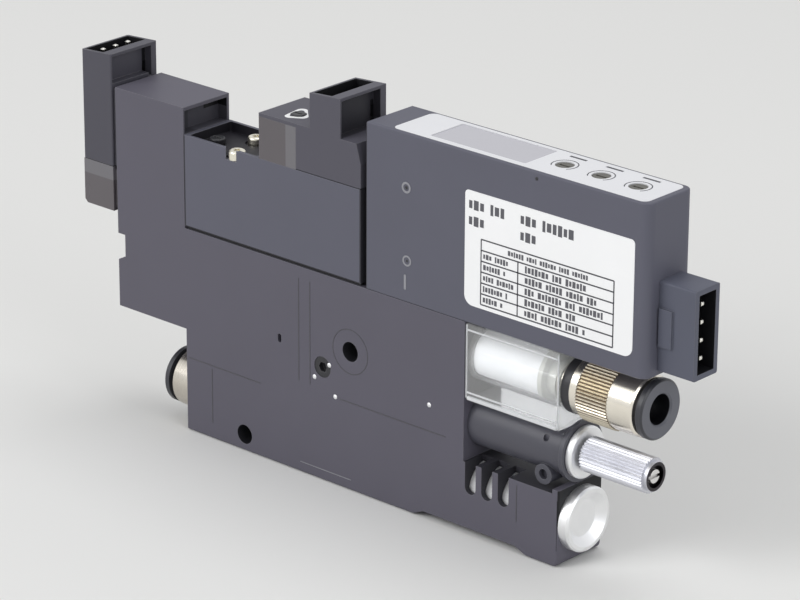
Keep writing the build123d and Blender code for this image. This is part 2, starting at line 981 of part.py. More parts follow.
with BuildPart() as barrel_pins:
    for pin_z, pin_d in pins:
        rod_y((-outer + pin_drop, -outer + pin_drop + pin_len), pin_x, pin_z, pin_d)

save(barrel_pins.part, "barrel_pins")

with BuildPart() as needle:
    stem = needle_bore_d / 2
    cone_x = step_x - needle_cone_len
    knob_x0 = barrel_end_x + reveal + lock_nut_t
    knob_x1 = knob_x0 + knob_len
    rim_x = knob_x1 + knob_rim_len
    stub_x = rim_x - knob_stub_drop
    end_floor = rim_x - knob_end_depth
    add(
        turned(
            [
                (cone_x - needle_cone_len, 0),
                (cone_x - needle_cone_len, needle_tip_d / 2),
                (cone_x, stem),
                (knob_x0 + knob_neck, stem),
                (knob_x0 + knob_neck, knob_rim_d / 2),
                (rim_x, knob_rim_d / 2),
                (rim_x, knob_end_d / 2),
                (end_floor, knob_end_d / 2),
                (end_floor, knob_stub_d / 2),
                (stub_x, knob_stub_d / 2),
                (stub_x, 0),
            ],
            needle_z,
        )
    )
    with BuildSketch(Plane.YZ.offset(knob_x0 + knob_neck)):
        with Locations((0, needle_z)):
            Polygon(*toothed(knob_teeth, knob_d, knob_tooth_depth), align=None)
    extrude(amount=knob_len - knob_neck)
    slot_side = knob_stub_d / 2
    block(
        (stub_x - knob_slot_depth, stub_x),
        (-slot_side, slot_side),
        (needle_z - knob_slot_w / 2, needle_z + knob_slot_w / 2),
        Mode.SUBTRACT,
    )

save(needle.part, "needle")

with BuildPart() as needle_lock_nut:
    nut_x = barrel_end_x + reveal
    nut_bore = stem + lock_nut_play
    add(
        turned(
            [
                (nut_x, nut_bore),
                (nut_x, lock_nut_d / 2),
                (nut_x + lock_nut_t - bevel, lock_nut_d / 2),
                (nut_x + lock_nut_t, lock_nut_d / 2 - bevel),
                (nut_x + lock_nut_t, nut_bore),
            ],
            needle_z,
        )
    )

save(needle_lock_nut.part, "needle_lock_nut")

gland_x = barrel_end_x - gland_setback - gland_len / 2 - ring_cord / 2
save(o_ring(gland_x, needle_z, needle_bore_d / 2 + slip, gland_d / 2), "needle_seal")

with BuildPart() as blanking_plug:
    rod_y((-half_w + reveal, -half_w + plug_len), plug_x, plug_z, plug_d)
    with BuildSketch(Plane.XZ.offset(half_w)):
        with Locations((plug_x, plug_z)):
            RegularPolygon(plug_hex_r, 6)
    extrude(amount=-plug_hex_depth, mode=Mode.SUBTRACT)

save(blanking_plug.part, "blanking_plug")


# Valve stack: gasket and main valve body
with BuildPart() as valve_gasket:
    with BuildSketch(Plane.XY.offset(seam_z)):
        gasket_len = valve_len - 2 * gasket_inset
        with Locations((heel_x + valve_len / 2, 0)):
            Rectangle(gasket_len, unit_w - 2 * gasket_inset)
        with Locations((riser_x, 0), (feed_x, 0)):
            Circle(riser_d / 2, mode=Mode.SUBTRACT)
        with Locations(*screw_places):
            Circle(screw_d / 2 + seat, mode=Mode.SUBTRACT)
    extrude(amount=gasket_t)

save(valve_gasket.part, "valve_gasket")

with BuildPart() as valve_body:
    with BuildSketch(Plane.XY.offset(valve_z)):
        body_len = valve_len - reveal
        with Locations((heel_x + reveal + body_len / 2, 0)):
            Rectangle(body_len, unit_w)
    extrude(amount=valve_h)
    with BuildSketch(Plane.XY.offset(valve_top)):
        pocket_x0 = heel_x + reveal + pocket_inset_x
        pocket_x1 = release_x0 - pocket_end_wall
        with Locations(((pocket_x0 + pocket_x1) / 2, 0)):
            RectangleRounded(pocket_x1 - pocket_x0, unit_w - 2 * pocket_wall, pocket_corner)
    extrude(amount=-pocket_depth, mode=Mode.SUBTRACT)
    head_seat = valve_top - screw_head_drop - screw_head_h
    for x, y in screw_places:
        rod_z((head_seat, valve_top), x, y, screw_head_d + 2 * screw_head_room, Mode.SUBTRACT)
        rod_z((valve_z, head_seat), x, y, screw_d + 2 * seat, Mode.SUBTRACT)
    supply_button_x = heel_x + supply_button_setback
    button_floor = valve_top - pocket_depth - supply_button_well
    button_bore = supply_button_d + 2 * slip
    rod_z((button_floor, valve_top), supply_button_x, supply_button_y, button_bore, Mode.SUBTRACT)
    spool_bore_end = heel_x + reveal + spool_len + spool_travel + spool_spring_len + 3 * reveal
    rod_x((heel_x, spool_bore_end), spool_z, spool_bore_d, mode=Mode.SUBTRACT)
    rod_z((valve_z, spool_z), riser_x, 0, riser_d, Mode.SUBTRACT)
    rod_z((valve_z, spool_z), feed_x, 0, riser_d, Mode.SUBTRACT)

save(valve_body.part, "valve_body")

with BuildPart() as spool:
    spool_x = heel_x + 2 * reveal
    land_r = spool_bore_d / 2 - slip
    pitch = (spool_len - spool_land_len) / (spool_land_count - 1)
    rod_x((spool_x, spool_x + spool_len), spool_z, spool_rod_d)
    for i in range(spool_land_count):
        land_x = spool_x + i * pitch
        rod_x((land_x, land_x + spool_land_len), spool_z, 2 * land_r)

save(spool.part, "spool")
spring_x = spool_bore_end - spool_spring_len
save(coil_spring_x((spring_x, spool_bore_end), spool_z, spool_spring_d), "spool_spring")

with BuildPart() as valve_screws:
    head_top = head_seat + screw_head_h
    for x, y in screw_places:
        rod_z((seam_z - screw_grip, head_seat), x, y, screw_d)
        rod_z((head_seat, head_top), x, y, screw_head_d)
    rims = valve_screws.edges().filter_by(GeomType.CIRCLE).group_by(Axis.Z)[-1]
    fillet(rims, screw_head_dome)
    for x, y in screw_places:
        for slot in ((screw_head_d / 2, screw_slot_w), (screw_slot_w, screw_head_d / 2)):
            block(
                (x - slot[0] / 2, x + slot[0] / 2),
                (y - slot[1] / 2, y + slot[1] / 2),
                (head_top - screw_slot_depth, head_top),
                Mode.SUBTRACT,
            )

save(valve_screws.part, "valve_screws")


def push_button(x, y, foot_z, diameter, height):
    """A manual override: a small round button with a driver slot in its head."""
    with BuildPart() as button:
        rod_z((foot_z, foot_z + height), x, y, diameter)
        rim = button.edges().filter_by(GeomType.CIRCLE).sort_by(Axis.Z)[-1]
        chamfer(rim, bevel / 2)
        block(
            (x - diameter / 3, x + diameter / 3),
            (y - button_slot_w / 2, y + button_slot_w / 2),
            (foot_z + height - button_slot_depth, foot_z + height),
            Mode.SUBTRACT,
        )
    return button.part


supply_button_foot = button_floor + button_travel + reveal
save(
    push_button(supply_button_x, supply_button_y, supply_button_foot, supply_button_d, supply_button_h),
    "supply_override",
)


# Supply solenoid: yoke with its fixed core, bobbin, winding, plunger and spring
cavity_len = heel_x - cavity_end_wall - rear_x
yoke_len = cavity_len - 2 * reveal
yoke_w = supply_coil_d
yoke_z0 = coil_cavity_z0
yoke_z1 = coil_cavity_z0 + coil_cavity_h - reveal
bobbin_z0 = yoke_z0 + yoke_t
bobbin_z1 = yoke_z1 - yoke_t
with BuildPart() as supply_yoke:
    with BuildSketch(Plane.XZ) as yoke_side:
        with Locations((coil_x, (yoke_z0 + yoke_z1) / 2)):
            Rectangle(yoke_len, yoke_z1 - yoke_z0)
        with Locations((coil_x - yoke_t, (yoke_z0 + yoke_z1) / 2)):
            Rectangle(yoke_len, yoke_z1 - yoke_z0 - 2 * yoke_t, mode=Mode.SUBTRACT)
    extrude(amount=yoke_w / 2, both=True)
    rod_z((yoke_z0, bobbin_z0), coil_x, 0, supply_bobbin_bore_d, Mode.SUBTRACT)
    rod_z((yoke_z1 - yoke_t - core_share_len, yoke_z1), coil_x, 0, supply_plunger_d)

save(supply_yoke.part, "supply_yoke")

with BuildPart() as supply_bobbin:
    rod_z((bobbin_z0, bobbin_z1), coil_x, 0, supply_bobbin_bore_d + 2 * bobbin_wall)
    flange_d = supply_coil_d
    rod_z((bobbin_z0, bobbin_z0 + bobbin_wall), coil_x, 0, flange_d)
    rod_z((bobbin_z1 - bobbin_wall, bobbin_z1), coil_x, 0, flange_d)
    rod_z((bobbin_z0, bobbin_z1), coil_x, 0, supply_bobbin_bore_d, Mode.SUBTRACT)

save(supply_bobbin.part, "supply_bobbin")

with BuildPart() as supply_winding:
    with BuildSketch(Plane.XY.offset(bobbin_z0 + bobbin_wall)):
        with Locations((coil_x, 0)):
            Circle(supply_coil_d / 2 - bevel)
            Circle(supply_bobbin_bore_d / 2 + bobbin_wall + seat, mode=Mode.SUBTRACT)
    extrude(amount=bobbin_z1 - bobbin_z0 - 2 * bobbin_wall)

save(supply_winding.part, "supply_winding")

with BuildPart() as supply_plunger:
    core_face = yoke_z1 - yoke_t - core_share_len
    plunger_top = core_face - plunger_travel - reveal
    plunger_foot = plunger_top - supply_plunger_len
    rod_z((plunger_foot, plunger_top), coil_x, 0, supply_plunger_d)
    pocket_z = plunger_top - plunger_pocket
    rod_z((pocket_z, plunger_top), coil_x, 0, supply_spring_d, Mode.SUBTRACT)

save(supply_plunger.part, "supply_plunger")

with BuildPart() as supply_plunger_spring:
    with BuildSketch(Plane.XY.offset(pocket_z)):
        with Locations((coil_x, 0)):
            Circle(supply_spring_d / 2 - slip)
            Circle(supply_spring_d / 2 - slip - spring_wire, mode=Mode.SUBTRACT)
    extrude(amount=core_face - pocket_z)

save(supply_plunger_spring.part, "supply_plunger_spring")


# Sockets: an open box, a sunk latch panel in the front wall and holes for the pins
def socket_space(x0, x1, top, latch_low):
    """Everything that is cut out of a socket's column."""
    inner_w = half_w - socket_wall
    floor_z = top - socket_depth
    box_x1 = x1 - latch_wall
    with BuildPart() as space:
        block((x0 + socket_wall, box_x1), (-inner_w, inner_w), (floor_z, top))
        latch_near = -half_w + latch_near_frame
        latch_far = half_w - latch_far_frame
        slot_z = top - latch_slot_drop
        block((x1 - latch_depth, x1), (latch_near, latch_far), (latch_low, top - latch_top_frame))
        block((box_x1 - seat, x1), (latch_far - latch_slot_w, latch_far), (slot_z - latch_slot_h, slot_z))
        pin_hole = socket_pin_w + 2 * seat
        with Locations(((x0 + socket_wall + box_x1) / 2, 0, floor_z)):
            with GridLocations(0, socket_pin_pitch, 1, socket_pin_count):
                Box(pin_hole, pin_hole, 2 * (socket_pin_root + seat))
    return space.part


def pin_row(x0, x1, top, drop):
    """The row of square pins in a socket, standing in its floor; drop is from the rim to their tips."""
    low = top - socket_depth - socket_pin_root
    high = top - drop
    with BuildPart() as pins:
        with Locations(((x0 + socket_wall + x1 - latch_wall) / 2, 0, (low + high) / 2)):
            with GridLocations(0, socket_pin_pitch, 1, socket_pin_count):
                Box(socket_pin_w, socket_pin_w, high - low)
        chamfer(pins.edges().group_by(Axis.Z)[-1], socket_pin_bevel)
    return pins.part


column_x1 = rear_x - column_gap
column_x0 = column_x1 - column_len
lens_top = lens_z0 + lens_h
neck_w = half_w - neck_inset
with BuildPart() as supply_plug:
    with BuildSketch(Plane.XZ):
        with BuildLine():
            Polyline(
                (column_x0, lens_top + reveal),
                (column_x1, lens_top + reveal),
                (column_x1, column_top),
                (column_x0, column_top - socket_fall),
                close=True,
            )
        make_face()
    extrude(amount=half_w, both=True)
    fillet(supply_plug.edges().filter_by(Axis.Z), socket_round)
    block((column_x1, rear_x), (-neck_w, neck_w), (lens_top + reveal, tower_top - neck_inset))
    add(socket_space(column_x0, column_x1, column_top, tower_top + latch_foot), mode=Mode.SUBTRACT)

save(supply_plug.part, "supply_plug")

release_socket_x0 = release_x0 + release_socket_setback
release_socket_x1 = release_socket_x0 + release_socket_len
release_socket_top = release_top + release_socket_rise
with BuildPart() as socket_pins:
    add(pin_row(column_x0, column_x1, column_top, supply_pin_drop))
    add(pin_row(release_socket_x0, release_socket_x1, release_socket_top, release_pin_drop))

save(socket_pins.part, "socket_pins")

with BuildPart() as supply_lens:
    block((column_x0, column_x1), (-half_w, half_w), (lens_z0, lens_top))
    chamfer(supply_lens.edges().filter_by(Axis.Y).group_by(Axis.Z)[0].sort_by(Axis.X)[0], lens_bevel)
    block((column_x1, rear_x), (-neck_w, neck_w), (lens_z0 + neck_inset, lens_top - neck_inset))
    inner_w = half_w - lens_wall
    inner_z = (lens_z0 + lens_wall, lens_top - lens_wall)
    block((column_x0 + lens_wall, rear_x), (-inner_w, inner_w), inner_z, Mode.SUBTRACT)

save(supply_lens.part, "supply_lens")


# Release valve: its housing carries the second socket
with BuildPart() as release_housing:
    lens_back = release_x0 + release_lens_len
    nose_z = release_top - release_nose_drop
    roof_z = release_top - release_roof
    housing_front = valve_front - seat
    with BuildSketch(Plane.XZ):
        with BuildLine():
            Polyline(
                (lens_back, valve_top),
                (housing_front, valve_top),
                (housing_front, nose_z - release_slope_h),
                (housing_front - release_slope_len, nose_z),
                (release_socket_x1, nose_z),
                (release_socket_x1, release_socket_top),
                (release_socket_x0, release_socket_top - socket_fall),
                (release_socket_x0, release_top),
                (release_x0, release_top),
                (release_x0, roof_z),
                (lens_back, roof_z),
                close=True,
            )
        make_face()
    extrude(amount=half_w, both=True)
    chamfer(release_housing.faces().sort_by(Axis.Z)[0].edges(), seam_bevel)
    add(
        socket_space(release_socket_x0, release_socket_x1, release_socket_top, nose_z),
        mode=Mode.SUBTRACT,
    )
    cheek_x1 = lens_back + release_cheek_len
    for side in (-1, 1):
        cheek_y = sorted((side * (half_w - release_cheek_t - seat), side * half_w))
        block((lens_back, cheek_x1), cheek_y, (valve_top, roof_z), Mode.SUBTRACT)
    coil_end = lens_back + release_coil_len + 2 * reveal
    rod_x((lens_back, coil_end), release_coil_z, release_bore_d, mode=Mode.SUBTRACT)
    plunger_room = (coil_end, coil_end + release_plunger_len / 2)
    rod_x(plunger_room, release_coil_z, release_plunger_d + 2 * reveal, mode=Mode.SUBTRACT)
    release_button_x = release_x0 + release_button_setback
    button_hole = release_button_d + 2 * slip
    button_well = release_top - release_button_well
    rod_z((button_well, release_top), release_button_x, release_button_y, button_hole, Mode.SUBTRACT)

save(release_housing.part, "release_housing")

with BuildPart() as release_lens:
    with BuildSketch(Plane.XY.offset(valve_top)):
        lens_span = release_lens_len + release_cheek_len
        with Locations((release_x0 + lens_span / 2, 0)):
            Rectangle(lens_span, unit_w)
        with Locations((lens_back + release_cheek_len / 2, 0)):
            Rectangle(release_cheek_len, unit_w - 2 * release_cheek_t, mode=Mode.SUBTRACT)
    extrude(amount=release_h - release_roof)

save(release_lens.part, "release_lens")

coil_x0 = lens_back + reveal
coil_x1 = coil_x0 + release_coil_len
with BuildPart() as release_bobbin:
    tube = release_plunger_d / 2 + slip
    flange = release_bore_d / 2 - seat
    add(
        turned(
            [
                (coil_x0, tube),
                (coil_x0, flange),
                (coil_x0 + bobbin_wall, flange),
                (coil_x0 + bobbin_wall, tube + bobbin_wall),
                (coil_x1 - bobbin_wall, tube + bobbin_wall),
                (coil_x1 - bobbin_wall, flange),
                (coil_x1, flange),
                (coil_x1, tube),
            ],
            release_coil_z,
        )
    )

save(release_bobbin.part, "release_bobbin")

with BuildPart() as release_winding:
    inner = release_plunger_d / 2 + slip + bobbin_wall + seat
    outer = release_bore_d / 2 - bevel
    first = coil_x0 + bobbin_wall
    last = coil_x1 - bobbin_wall
    add(turned([(first, inner), (first, outer), (last, outer), (last, inner)], release_coil_z))

save(release_winding.part, "release_winding")

core_len = release_coil_len / 3
with BuildPart() as release_core:
    rod_x((coil_x0, coil_x0 + core_len), release_coil_z, release_plunger_d)

save(release_core.part, "release_core")

with BuildPart() as release_plunger:
    plunger_x0 = coil_x0 + core_len + plunger_travel + reveal
    plunger_x1 = plunger_x0 + release_plunger_len
    rod_x((plunger_x0, plunger_x1), release_coil_z, release_plunger_d)

save(release_plunger.part, "release_plunger")

foot_z = button_well + release_button_travel + reveal
save(
    push_button(release_button_x, release_button_y, foot_z, release_button_d, release_button_h),
    "release_override",
)


# Pressure switch: a hollow case with an inlaid panel on top
panel_z = switch_top - panel_t
panel_x = switch_x + panel_x0
panel_len = switch_len - panel_x0 - panel_margin
trimmer_x0 = panel_len - trimmer_end_gap - trimmer_pitch * (trimmer_count - 1)
window_len = trimmer_x0 - window_gap - window_x0
hollow_x0 = panel_x + ledge
hollow_x1 = panel_x + panel_len - ledge
hollow_w = panel_w - 2 * ledge
board_top = switch_top - trimmer_drop - trimmer_h - reveal
board_z = board_top - board_t
cell_x = switch_x + cell_x0
floor_z = seam_z + switch_floor
with BuildPart() as switch_case:
    with BuildSketch(Plane.XY.offset(seam_z)) as switch_plan:
        with Locations((switch_x + switch_len / 2, 0)):
            Rectangle(switch_len, unit_w)
        fillet(switch_plan.vertices().group_by(Axis.X)[-1], switch_corner)
    extrude(amount=switch_h)
    fillet(switch_case.faces().sort_by(Axis.Z)[-1].edges(), switch_top_round)
    chamfer(switch_case.faces().sort_by(Axis.Z)[0].edges(), seam_bevel)
    with BuildSketch(Plane.XY.offset(panel_z)):
        with Locations((panel_x + panel_len / 2, 0)):
            RectangleRounded(panel_len + 2 * seat, panel_w + 2 * seat, panel_corner)
    extrude(amount=panel_t, mode=Mode.SUBTRACT)
    block((hollow_x0, hollow_x1), (-hollow_w / 2, hollow_w / 2), (board_z, panel_z), Mode.SUBTRACT)
    shelf_w = hollow_w / 2 - shelf
    block((hollow_x0 + shelf, hollow_x1 - shelf), (-shelf_w, shelf_w), (floor_z, board_z), Mode.SUBTRACT)
    rod_z((seam_z, floor_z), cell_x, 0, cell_stem_d + 2 * seat, Mode.SUBTRACT)

save(switch_case.part, "switch_case")

window_x = panel_x + window_x0
trimmer_places = [(panel_x + trimmer_x0 + i * trimmer_pitch, 0) for i in range(trimmer_count)]
with BuildPart() as switch_panel:
    with BuildSketch(Plane.XY.offset(panel_z)):
        with Locations((panel_x + panel_len / 2, 0)):
            RectangleRounded(panel_len, panel_w, panel_corner)
        with Locations((window_x + window_len / 2, window_offset_y)):
            RectangleRounded(window_len, window_w, window_corner, mode=Mode.SUBTRACT)
        with Locations(*trimmer_places):
            Circle(trimmer_d / 2 + slip, mode=Mode.SUBTRACT)
    extrude(amount=panel_t)

save(switch_panel.part, "switch_panel")

with BuildPart() as display_window:
    with BuildSketch(Plane.XY.offset(switch_top - window_recess)):
        with Locations((window_x + window_len / 2, window_offset_y)):
            RectangleRounded(window_len - 2 * seat, window_w - 2 * seat, window_corner)
    extrude(amount=-window_t)

save(display_window.part, "display_window")

for number, (x, y) in enumerate(trimmer_places, start=1):
    with BuildPart() as trimmer:
        trimmer_top = switch_top - trimmer_drop
        rod_z((trimmer_top - trimmer_h, trimmer_top), x, y, trimmer_d)
        block(
            (x - trimmer_slot_len / 2, x + trimmer_slot_len / 2),
            (y - trimmer_slot_w / 2, y + trimmer_slot_w / 2),
            (trimmer_top - trimmer_slot_depth, trimmer_top),
            Mode.SUBTRACT,
        )
    save(trimmer.part, f"trimmer_{number}")

with BuildPart() as circuit_board:
    board_len = hollow_x1 - hollow_x0 - 2 * board_gap
    with BuildSketch(Plane.XY.offset(board_z)):
        with Locations(((hollow_x0 + hollow_x1) / 2, 0)):
            Rectangle(board_len, hollow_w - 2 * board_gap)
    extrude(amount=board_t)

save(circuit_board.part, "circuit_board")

with BuildPart() as display_module:
    module_top = switch_top - window_recess - window_t - reveal
    block(
        (window_x + display_inset, window_x + window_len - display_inset),
        (window_offset_y - display_w / 2, window_offset_y + display_w / 2),
        (board_top, module_top),
    )
    chamfer(display_module.edges().group_by(Axis.Z)[-1], bevel)

save(display_module.part, "display_module")

with BuildPart() as pressure_cell:
    block(
        (cell_x - cell_w / 2, cell_x + cell_w / 2),
        (-shelf_w + reveal, shelf_w - reveal),
        (floor_z, floor_z + cell_h),
    )
    rod_z((floor_z + cell_h, floor_z + cell_h + cell_lid_h), cell_x, 0, cell_lid_d)
    rod_z((seam_z - cell_stem_drop, floor_z), cell_x, 0, cell_stem_d)
    cell_foot = seam_z - cell_stem_drop
    rod_z((cell_foot, floor_z + cell_passage_rise), cell_x, 0, cell_passage_d, Mode.SUBTRACT)

save(pressure_cell.part, "pressure_cell")


# Plug on the switch's end face: an open box with four pins and a lug on its near side
outlet_x1 = switch_front + outlet_len
outlet_z = seam_z + outlet_z0
outlet_y0 = outlet_offset_y - outlet_w / 2
outlet_mid_z = outlet_z + outlet_h / 2
with BuildPart() as switch_plug:
    with BuildSketch(Plane.YZ.offset(switch_front)) as plug_section:
        with Locations((outlet_offset_y, outlet_mid_z)):
            Rectangle(outlet_w, outlet_h)
        fillet(plug_section.vertices(), socket_round)
    extrude(amount=outlet_len)
    with BuildSketch(Plane.YZ.offset(outlet_x1)):
        with Locations((outlet_offset_y, outlet_mid_z)):
            Rectangle(outlet_w - 2 * outlet_wall, outlet_h - 2 * outlet_wall)
    extrude(amount=-outlet_depth, mode=Mode.SUBTRACT)
    with BuildSketch(Plane.YZ.offset(outlet_x1 - outlet_depth)):
        with Locations((outlet_offset_y, outlet_mid_z)):
            with GridLocations(0, outlet_pin_pitch, 1, outlet_pin_count):
                Rectangle(socket_pin_w + 2 * seat, socket_pin_w + 2 * seat)
    extrude(amount=-socket_pin_root - seat, mode=Mode.SUBTRACT)
    block(
        (switch_front + outlet_lug_x, switch_front + outlet_lug_x + outlet_lug_len),
        (outlet_y0 - outlet_lug_t, outlet_y0),
        (outlet_mid_z - outlet_lug_h / 2, outlet_mid_z + outlet_lug_h / 2),
    )

save(switch_plug.part, "switch_plug")

with BuildPart() as switch_plug_pins:
    pin_x0 = outlet_x1 - outlet_depth - socket_pin_root
    pin_x1 = outlet_x1 - outlet_pin_drop
    with BuildSketch(Plane.YZ.offset(pin_x0)):
        with Locations((outlet_offset_y, outlet_mid_z)):
            with GridLocations(0, outlet_pin_pitch, 1, outlet_pin_count):
                Rectangle(socket_pin_w, socket_pin_w)
    extrude(amount=pin_x1 - pin_x0)
    chamfer(switch_plug_pins.edges().group_by(Axis.X)[-1], socket_pin_bevel)

save(switch_plug_pins.part, "switch_plug_pins")
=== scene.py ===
# %% [markdown]
# # A slim vacuum ejector unit
# A vacuum ejector turns compressed air into suction: air rushes through a small nozzle and drags
# the air of a suction cup along with it. This one is a stack of slim housings only 10.5 mm wide,
# with two solenoid valves and a pressure switch on top of the ejector's own body.
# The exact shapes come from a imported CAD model. This lesson dresses them: it makes the materials,
# the labels and the small marks, and then sets up the light and the camera.

import json
import math

import bmesh
import bpy
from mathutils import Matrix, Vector


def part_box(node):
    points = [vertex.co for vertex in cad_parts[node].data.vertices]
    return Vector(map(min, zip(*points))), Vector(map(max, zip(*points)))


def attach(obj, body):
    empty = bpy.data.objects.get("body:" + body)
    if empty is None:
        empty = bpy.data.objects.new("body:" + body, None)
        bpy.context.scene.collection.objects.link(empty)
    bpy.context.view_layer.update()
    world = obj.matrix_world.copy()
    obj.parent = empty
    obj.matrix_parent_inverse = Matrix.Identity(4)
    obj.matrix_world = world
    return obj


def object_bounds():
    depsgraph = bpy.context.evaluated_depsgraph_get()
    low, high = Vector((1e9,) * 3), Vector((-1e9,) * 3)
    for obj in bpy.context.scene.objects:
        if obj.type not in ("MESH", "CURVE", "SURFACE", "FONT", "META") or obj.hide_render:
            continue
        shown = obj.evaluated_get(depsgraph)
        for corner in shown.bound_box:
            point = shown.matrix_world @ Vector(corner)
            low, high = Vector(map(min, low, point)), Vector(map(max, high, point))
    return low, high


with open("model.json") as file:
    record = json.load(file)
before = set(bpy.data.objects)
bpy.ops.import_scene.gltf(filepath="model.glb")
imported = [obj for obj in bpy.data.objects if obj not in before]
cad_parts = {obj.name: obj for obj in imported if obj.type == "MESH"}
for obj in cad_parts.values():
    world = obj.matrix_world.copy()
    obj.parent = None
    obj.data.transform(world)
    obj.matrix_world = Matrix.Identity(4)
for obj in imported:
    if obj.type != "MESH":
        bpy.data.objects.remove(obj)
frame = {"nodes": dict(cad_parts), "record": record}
cad_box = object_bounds()
MM = 0.001

# %% [markdown]
# ## Node groups
# Several finishes need the same effects: the fine grain of a mould, edges that catch the light,
# the rings that a lathe leaves. Each effect could be copied into every material, but a node group
# is built once and placed where it is needed, with its own values each time.
# A small helper makes a group and its named sockets.


# %% Helpers for node trees
def new_group(name, inputs, outputs):
    """An empty shader node group; inputs are (name, socket type, value)."""
    group = bpy.data.node_groups.new(name, "ShaderNodeTree")
    for label, kind, value in inputs:
        socket = group.interface.new_socket(name=label, in_out="INPUT", socket_type=kind)
        socket.default_value = value
    for label, kind in outputs:
        group.interface.new_socket(name=label, in_out="OUTPUT", socket_type=kind)
    return group, group.nodes.new("NodeGroupInput"), group.nodes.new("NodeGroupOutput")


def node(tree, kind, values=None, **settings):
    """Adds one node; values sets its input sockets by name or number."""
    made = tree.nodes.new(kind)
    for key, value in settings.items():
        setattr(made, key, value)
    for key, value in (values or {}).items():
        made.inputs[key].default_value = value
    return made


def math_node(tree, operation, first, second=None):
    """A Math node of two inputs, each a socket or a number."""
    made = node(tree, "ShaderNodeMath", operation=operation)
    for slot, value in enumerate((first, second)):
        if isinstance(value, bpy.types.NodeSocket):
            tree.links.new(value, made.inputs[slot])
        elif value is not None:
            made.inputs[slot].default_value = value
    return made.outputs[0]


print("helpers ready")

# %% [markdown]
# ### Mould grain
# Moulded plastic looks smooth from afar, but its skin has a fine texture, and its grey drifts a
# little where the melt flowed. Two noises give this: a fine one for the height and a broad one for
# the tone. They read object coordinates, so the grain has the same real size on every piece.

# %% Mould grain group
grain_group, grain_in, grain_out = new_group(
    "Mould grain",
    [("Scale", "NodeSocketFloat", 5000.0)],
    [("Height", "NodeSocketFloat"), ("Tone", "NodeSocketFloat")],
)
place = node(grain_group, "ShaderNodeTexCoord")
fine = node(grain_group, "ShaderNodeTexNoise", {"Detail": 3.0, "Roughness": 0.6})
broad = node(grain_group, "ShaderNodeTexNoise", {"Scale": 90.0, "Detail": 2.0, "Roughness": 0.5})
for noise in (fine, broad):
    grain_group.links.new(place.outputs["Object"], noise.inputs["Vector"])
grain_group.links.new(grain_in.outputs["Scale"], fine.inputs["Scale"])
grain_group.links.new(fine.outputs["Fac"], grain_out.inputs["Height"])
grain_group.links.new(broad.outputs["Fac"], grain_out.inputs["Tone"])
print("group", grain_group.name)

# %% [markdown]
# ### Rounded edges
# No moulded or turned edge is perfectly sharp: it has a radius of a tenth or two of a millimetre,
# and that is where it catches the light and where handling polishes it. The Bevel node bends the
# normal near an edge as if it were rounded. Where the bent normal differs from the flat one, there
# is an edge, and that difference is the mask.

# %% Rounded edges group
edge_group, edge_in, edge_out = new_group(
    "Rounded edges",
    [("Radius", "NodeSocketFloat", 0.0002)],
    [("Mask", "NodeSocketFloat"), ("Normal", "NodeSocketVector")],
)
bent = node(edge_group, "ShaderNodeBevel", samples=6)
flat = node(edge_group, "ShaderNodeNewGeometry")
likeness = node(edge_group, "ShaderNodeVectorMath", operation="DOT_PRODUCT")
spread = node(edge_group, "ShaderNodeMapRange", {"From Min": 0.99, "From Max": 0.75})
edge_group.links.new(edge_in.outputs["Radius"], bent.inputs["Radius"])
edge_group.links.new(bent.outputs["Normal"], likeness.inputs[0])
edge_group.links.new(flat.outputs["Normal"], likeness.inputs[1])
edge_group.links.new(likeness.outputs["Value"], spread.inputs["Value"])
edge_group.links.new(spread.outputs["Result"], edge_out.inputs["Mask"])
edge_group.links.new(bent.outputs["Normal"], edge_out.inputs["Normal"])
print("group", edge_group.name)

# %% [markdown]
# ### Turning marks
# Nozzles, fittings and the needle are turned on a lathe about a line along X. The tool leaves
# rings, so the surface changes fast along X and hardly at all around. Noise that is stretched the
# same way gives such rings.

# %% Turning marks group
turn_group, turn_in, turn_out = new_group(
    "Turning marks",
    [("Scale", "NodeSocketFloat", 9000.0)],
    [("Height", "NodeSocketFloat"), ("Tone", "NodeSocketFloat")],
)
place = node(turn_group, "ShaderNodeTexCoord")
squeeze = node(turn_group, "ShaderNodeVectorMath", {1: (1.0, 0.03, 0.03)}, operation="MULTIPLY")
rings = node(turn_group, "ShaderNodeTexNoise", {"Detail": 2.0, "Roughness": 0.5})
smudge = node(turn_group, "ShaderNodeTexNoise", {"Scale": 300.0, "Detail": 2.0})
turn_group.links.new(place.outputs["Object"], squeeze.inputs[0])
turn_group.links.new(squeeze.outputs["Vector"], rings.inputs["Vector"])
turn_group.links.new(place.outputs["Object"], smudge.inputs["Vector"])
turn_group.links.new(turn_in.outputs["Scale"], rings.inputs["Scale"])
turn_group.links.new(rings.outputs["Fac"], turn_out.inputs["Height"])
turn_group.links.new(smudge.outputs["Fac"], turn_out.inputs["Tone"])
print("group", turn_group.name)
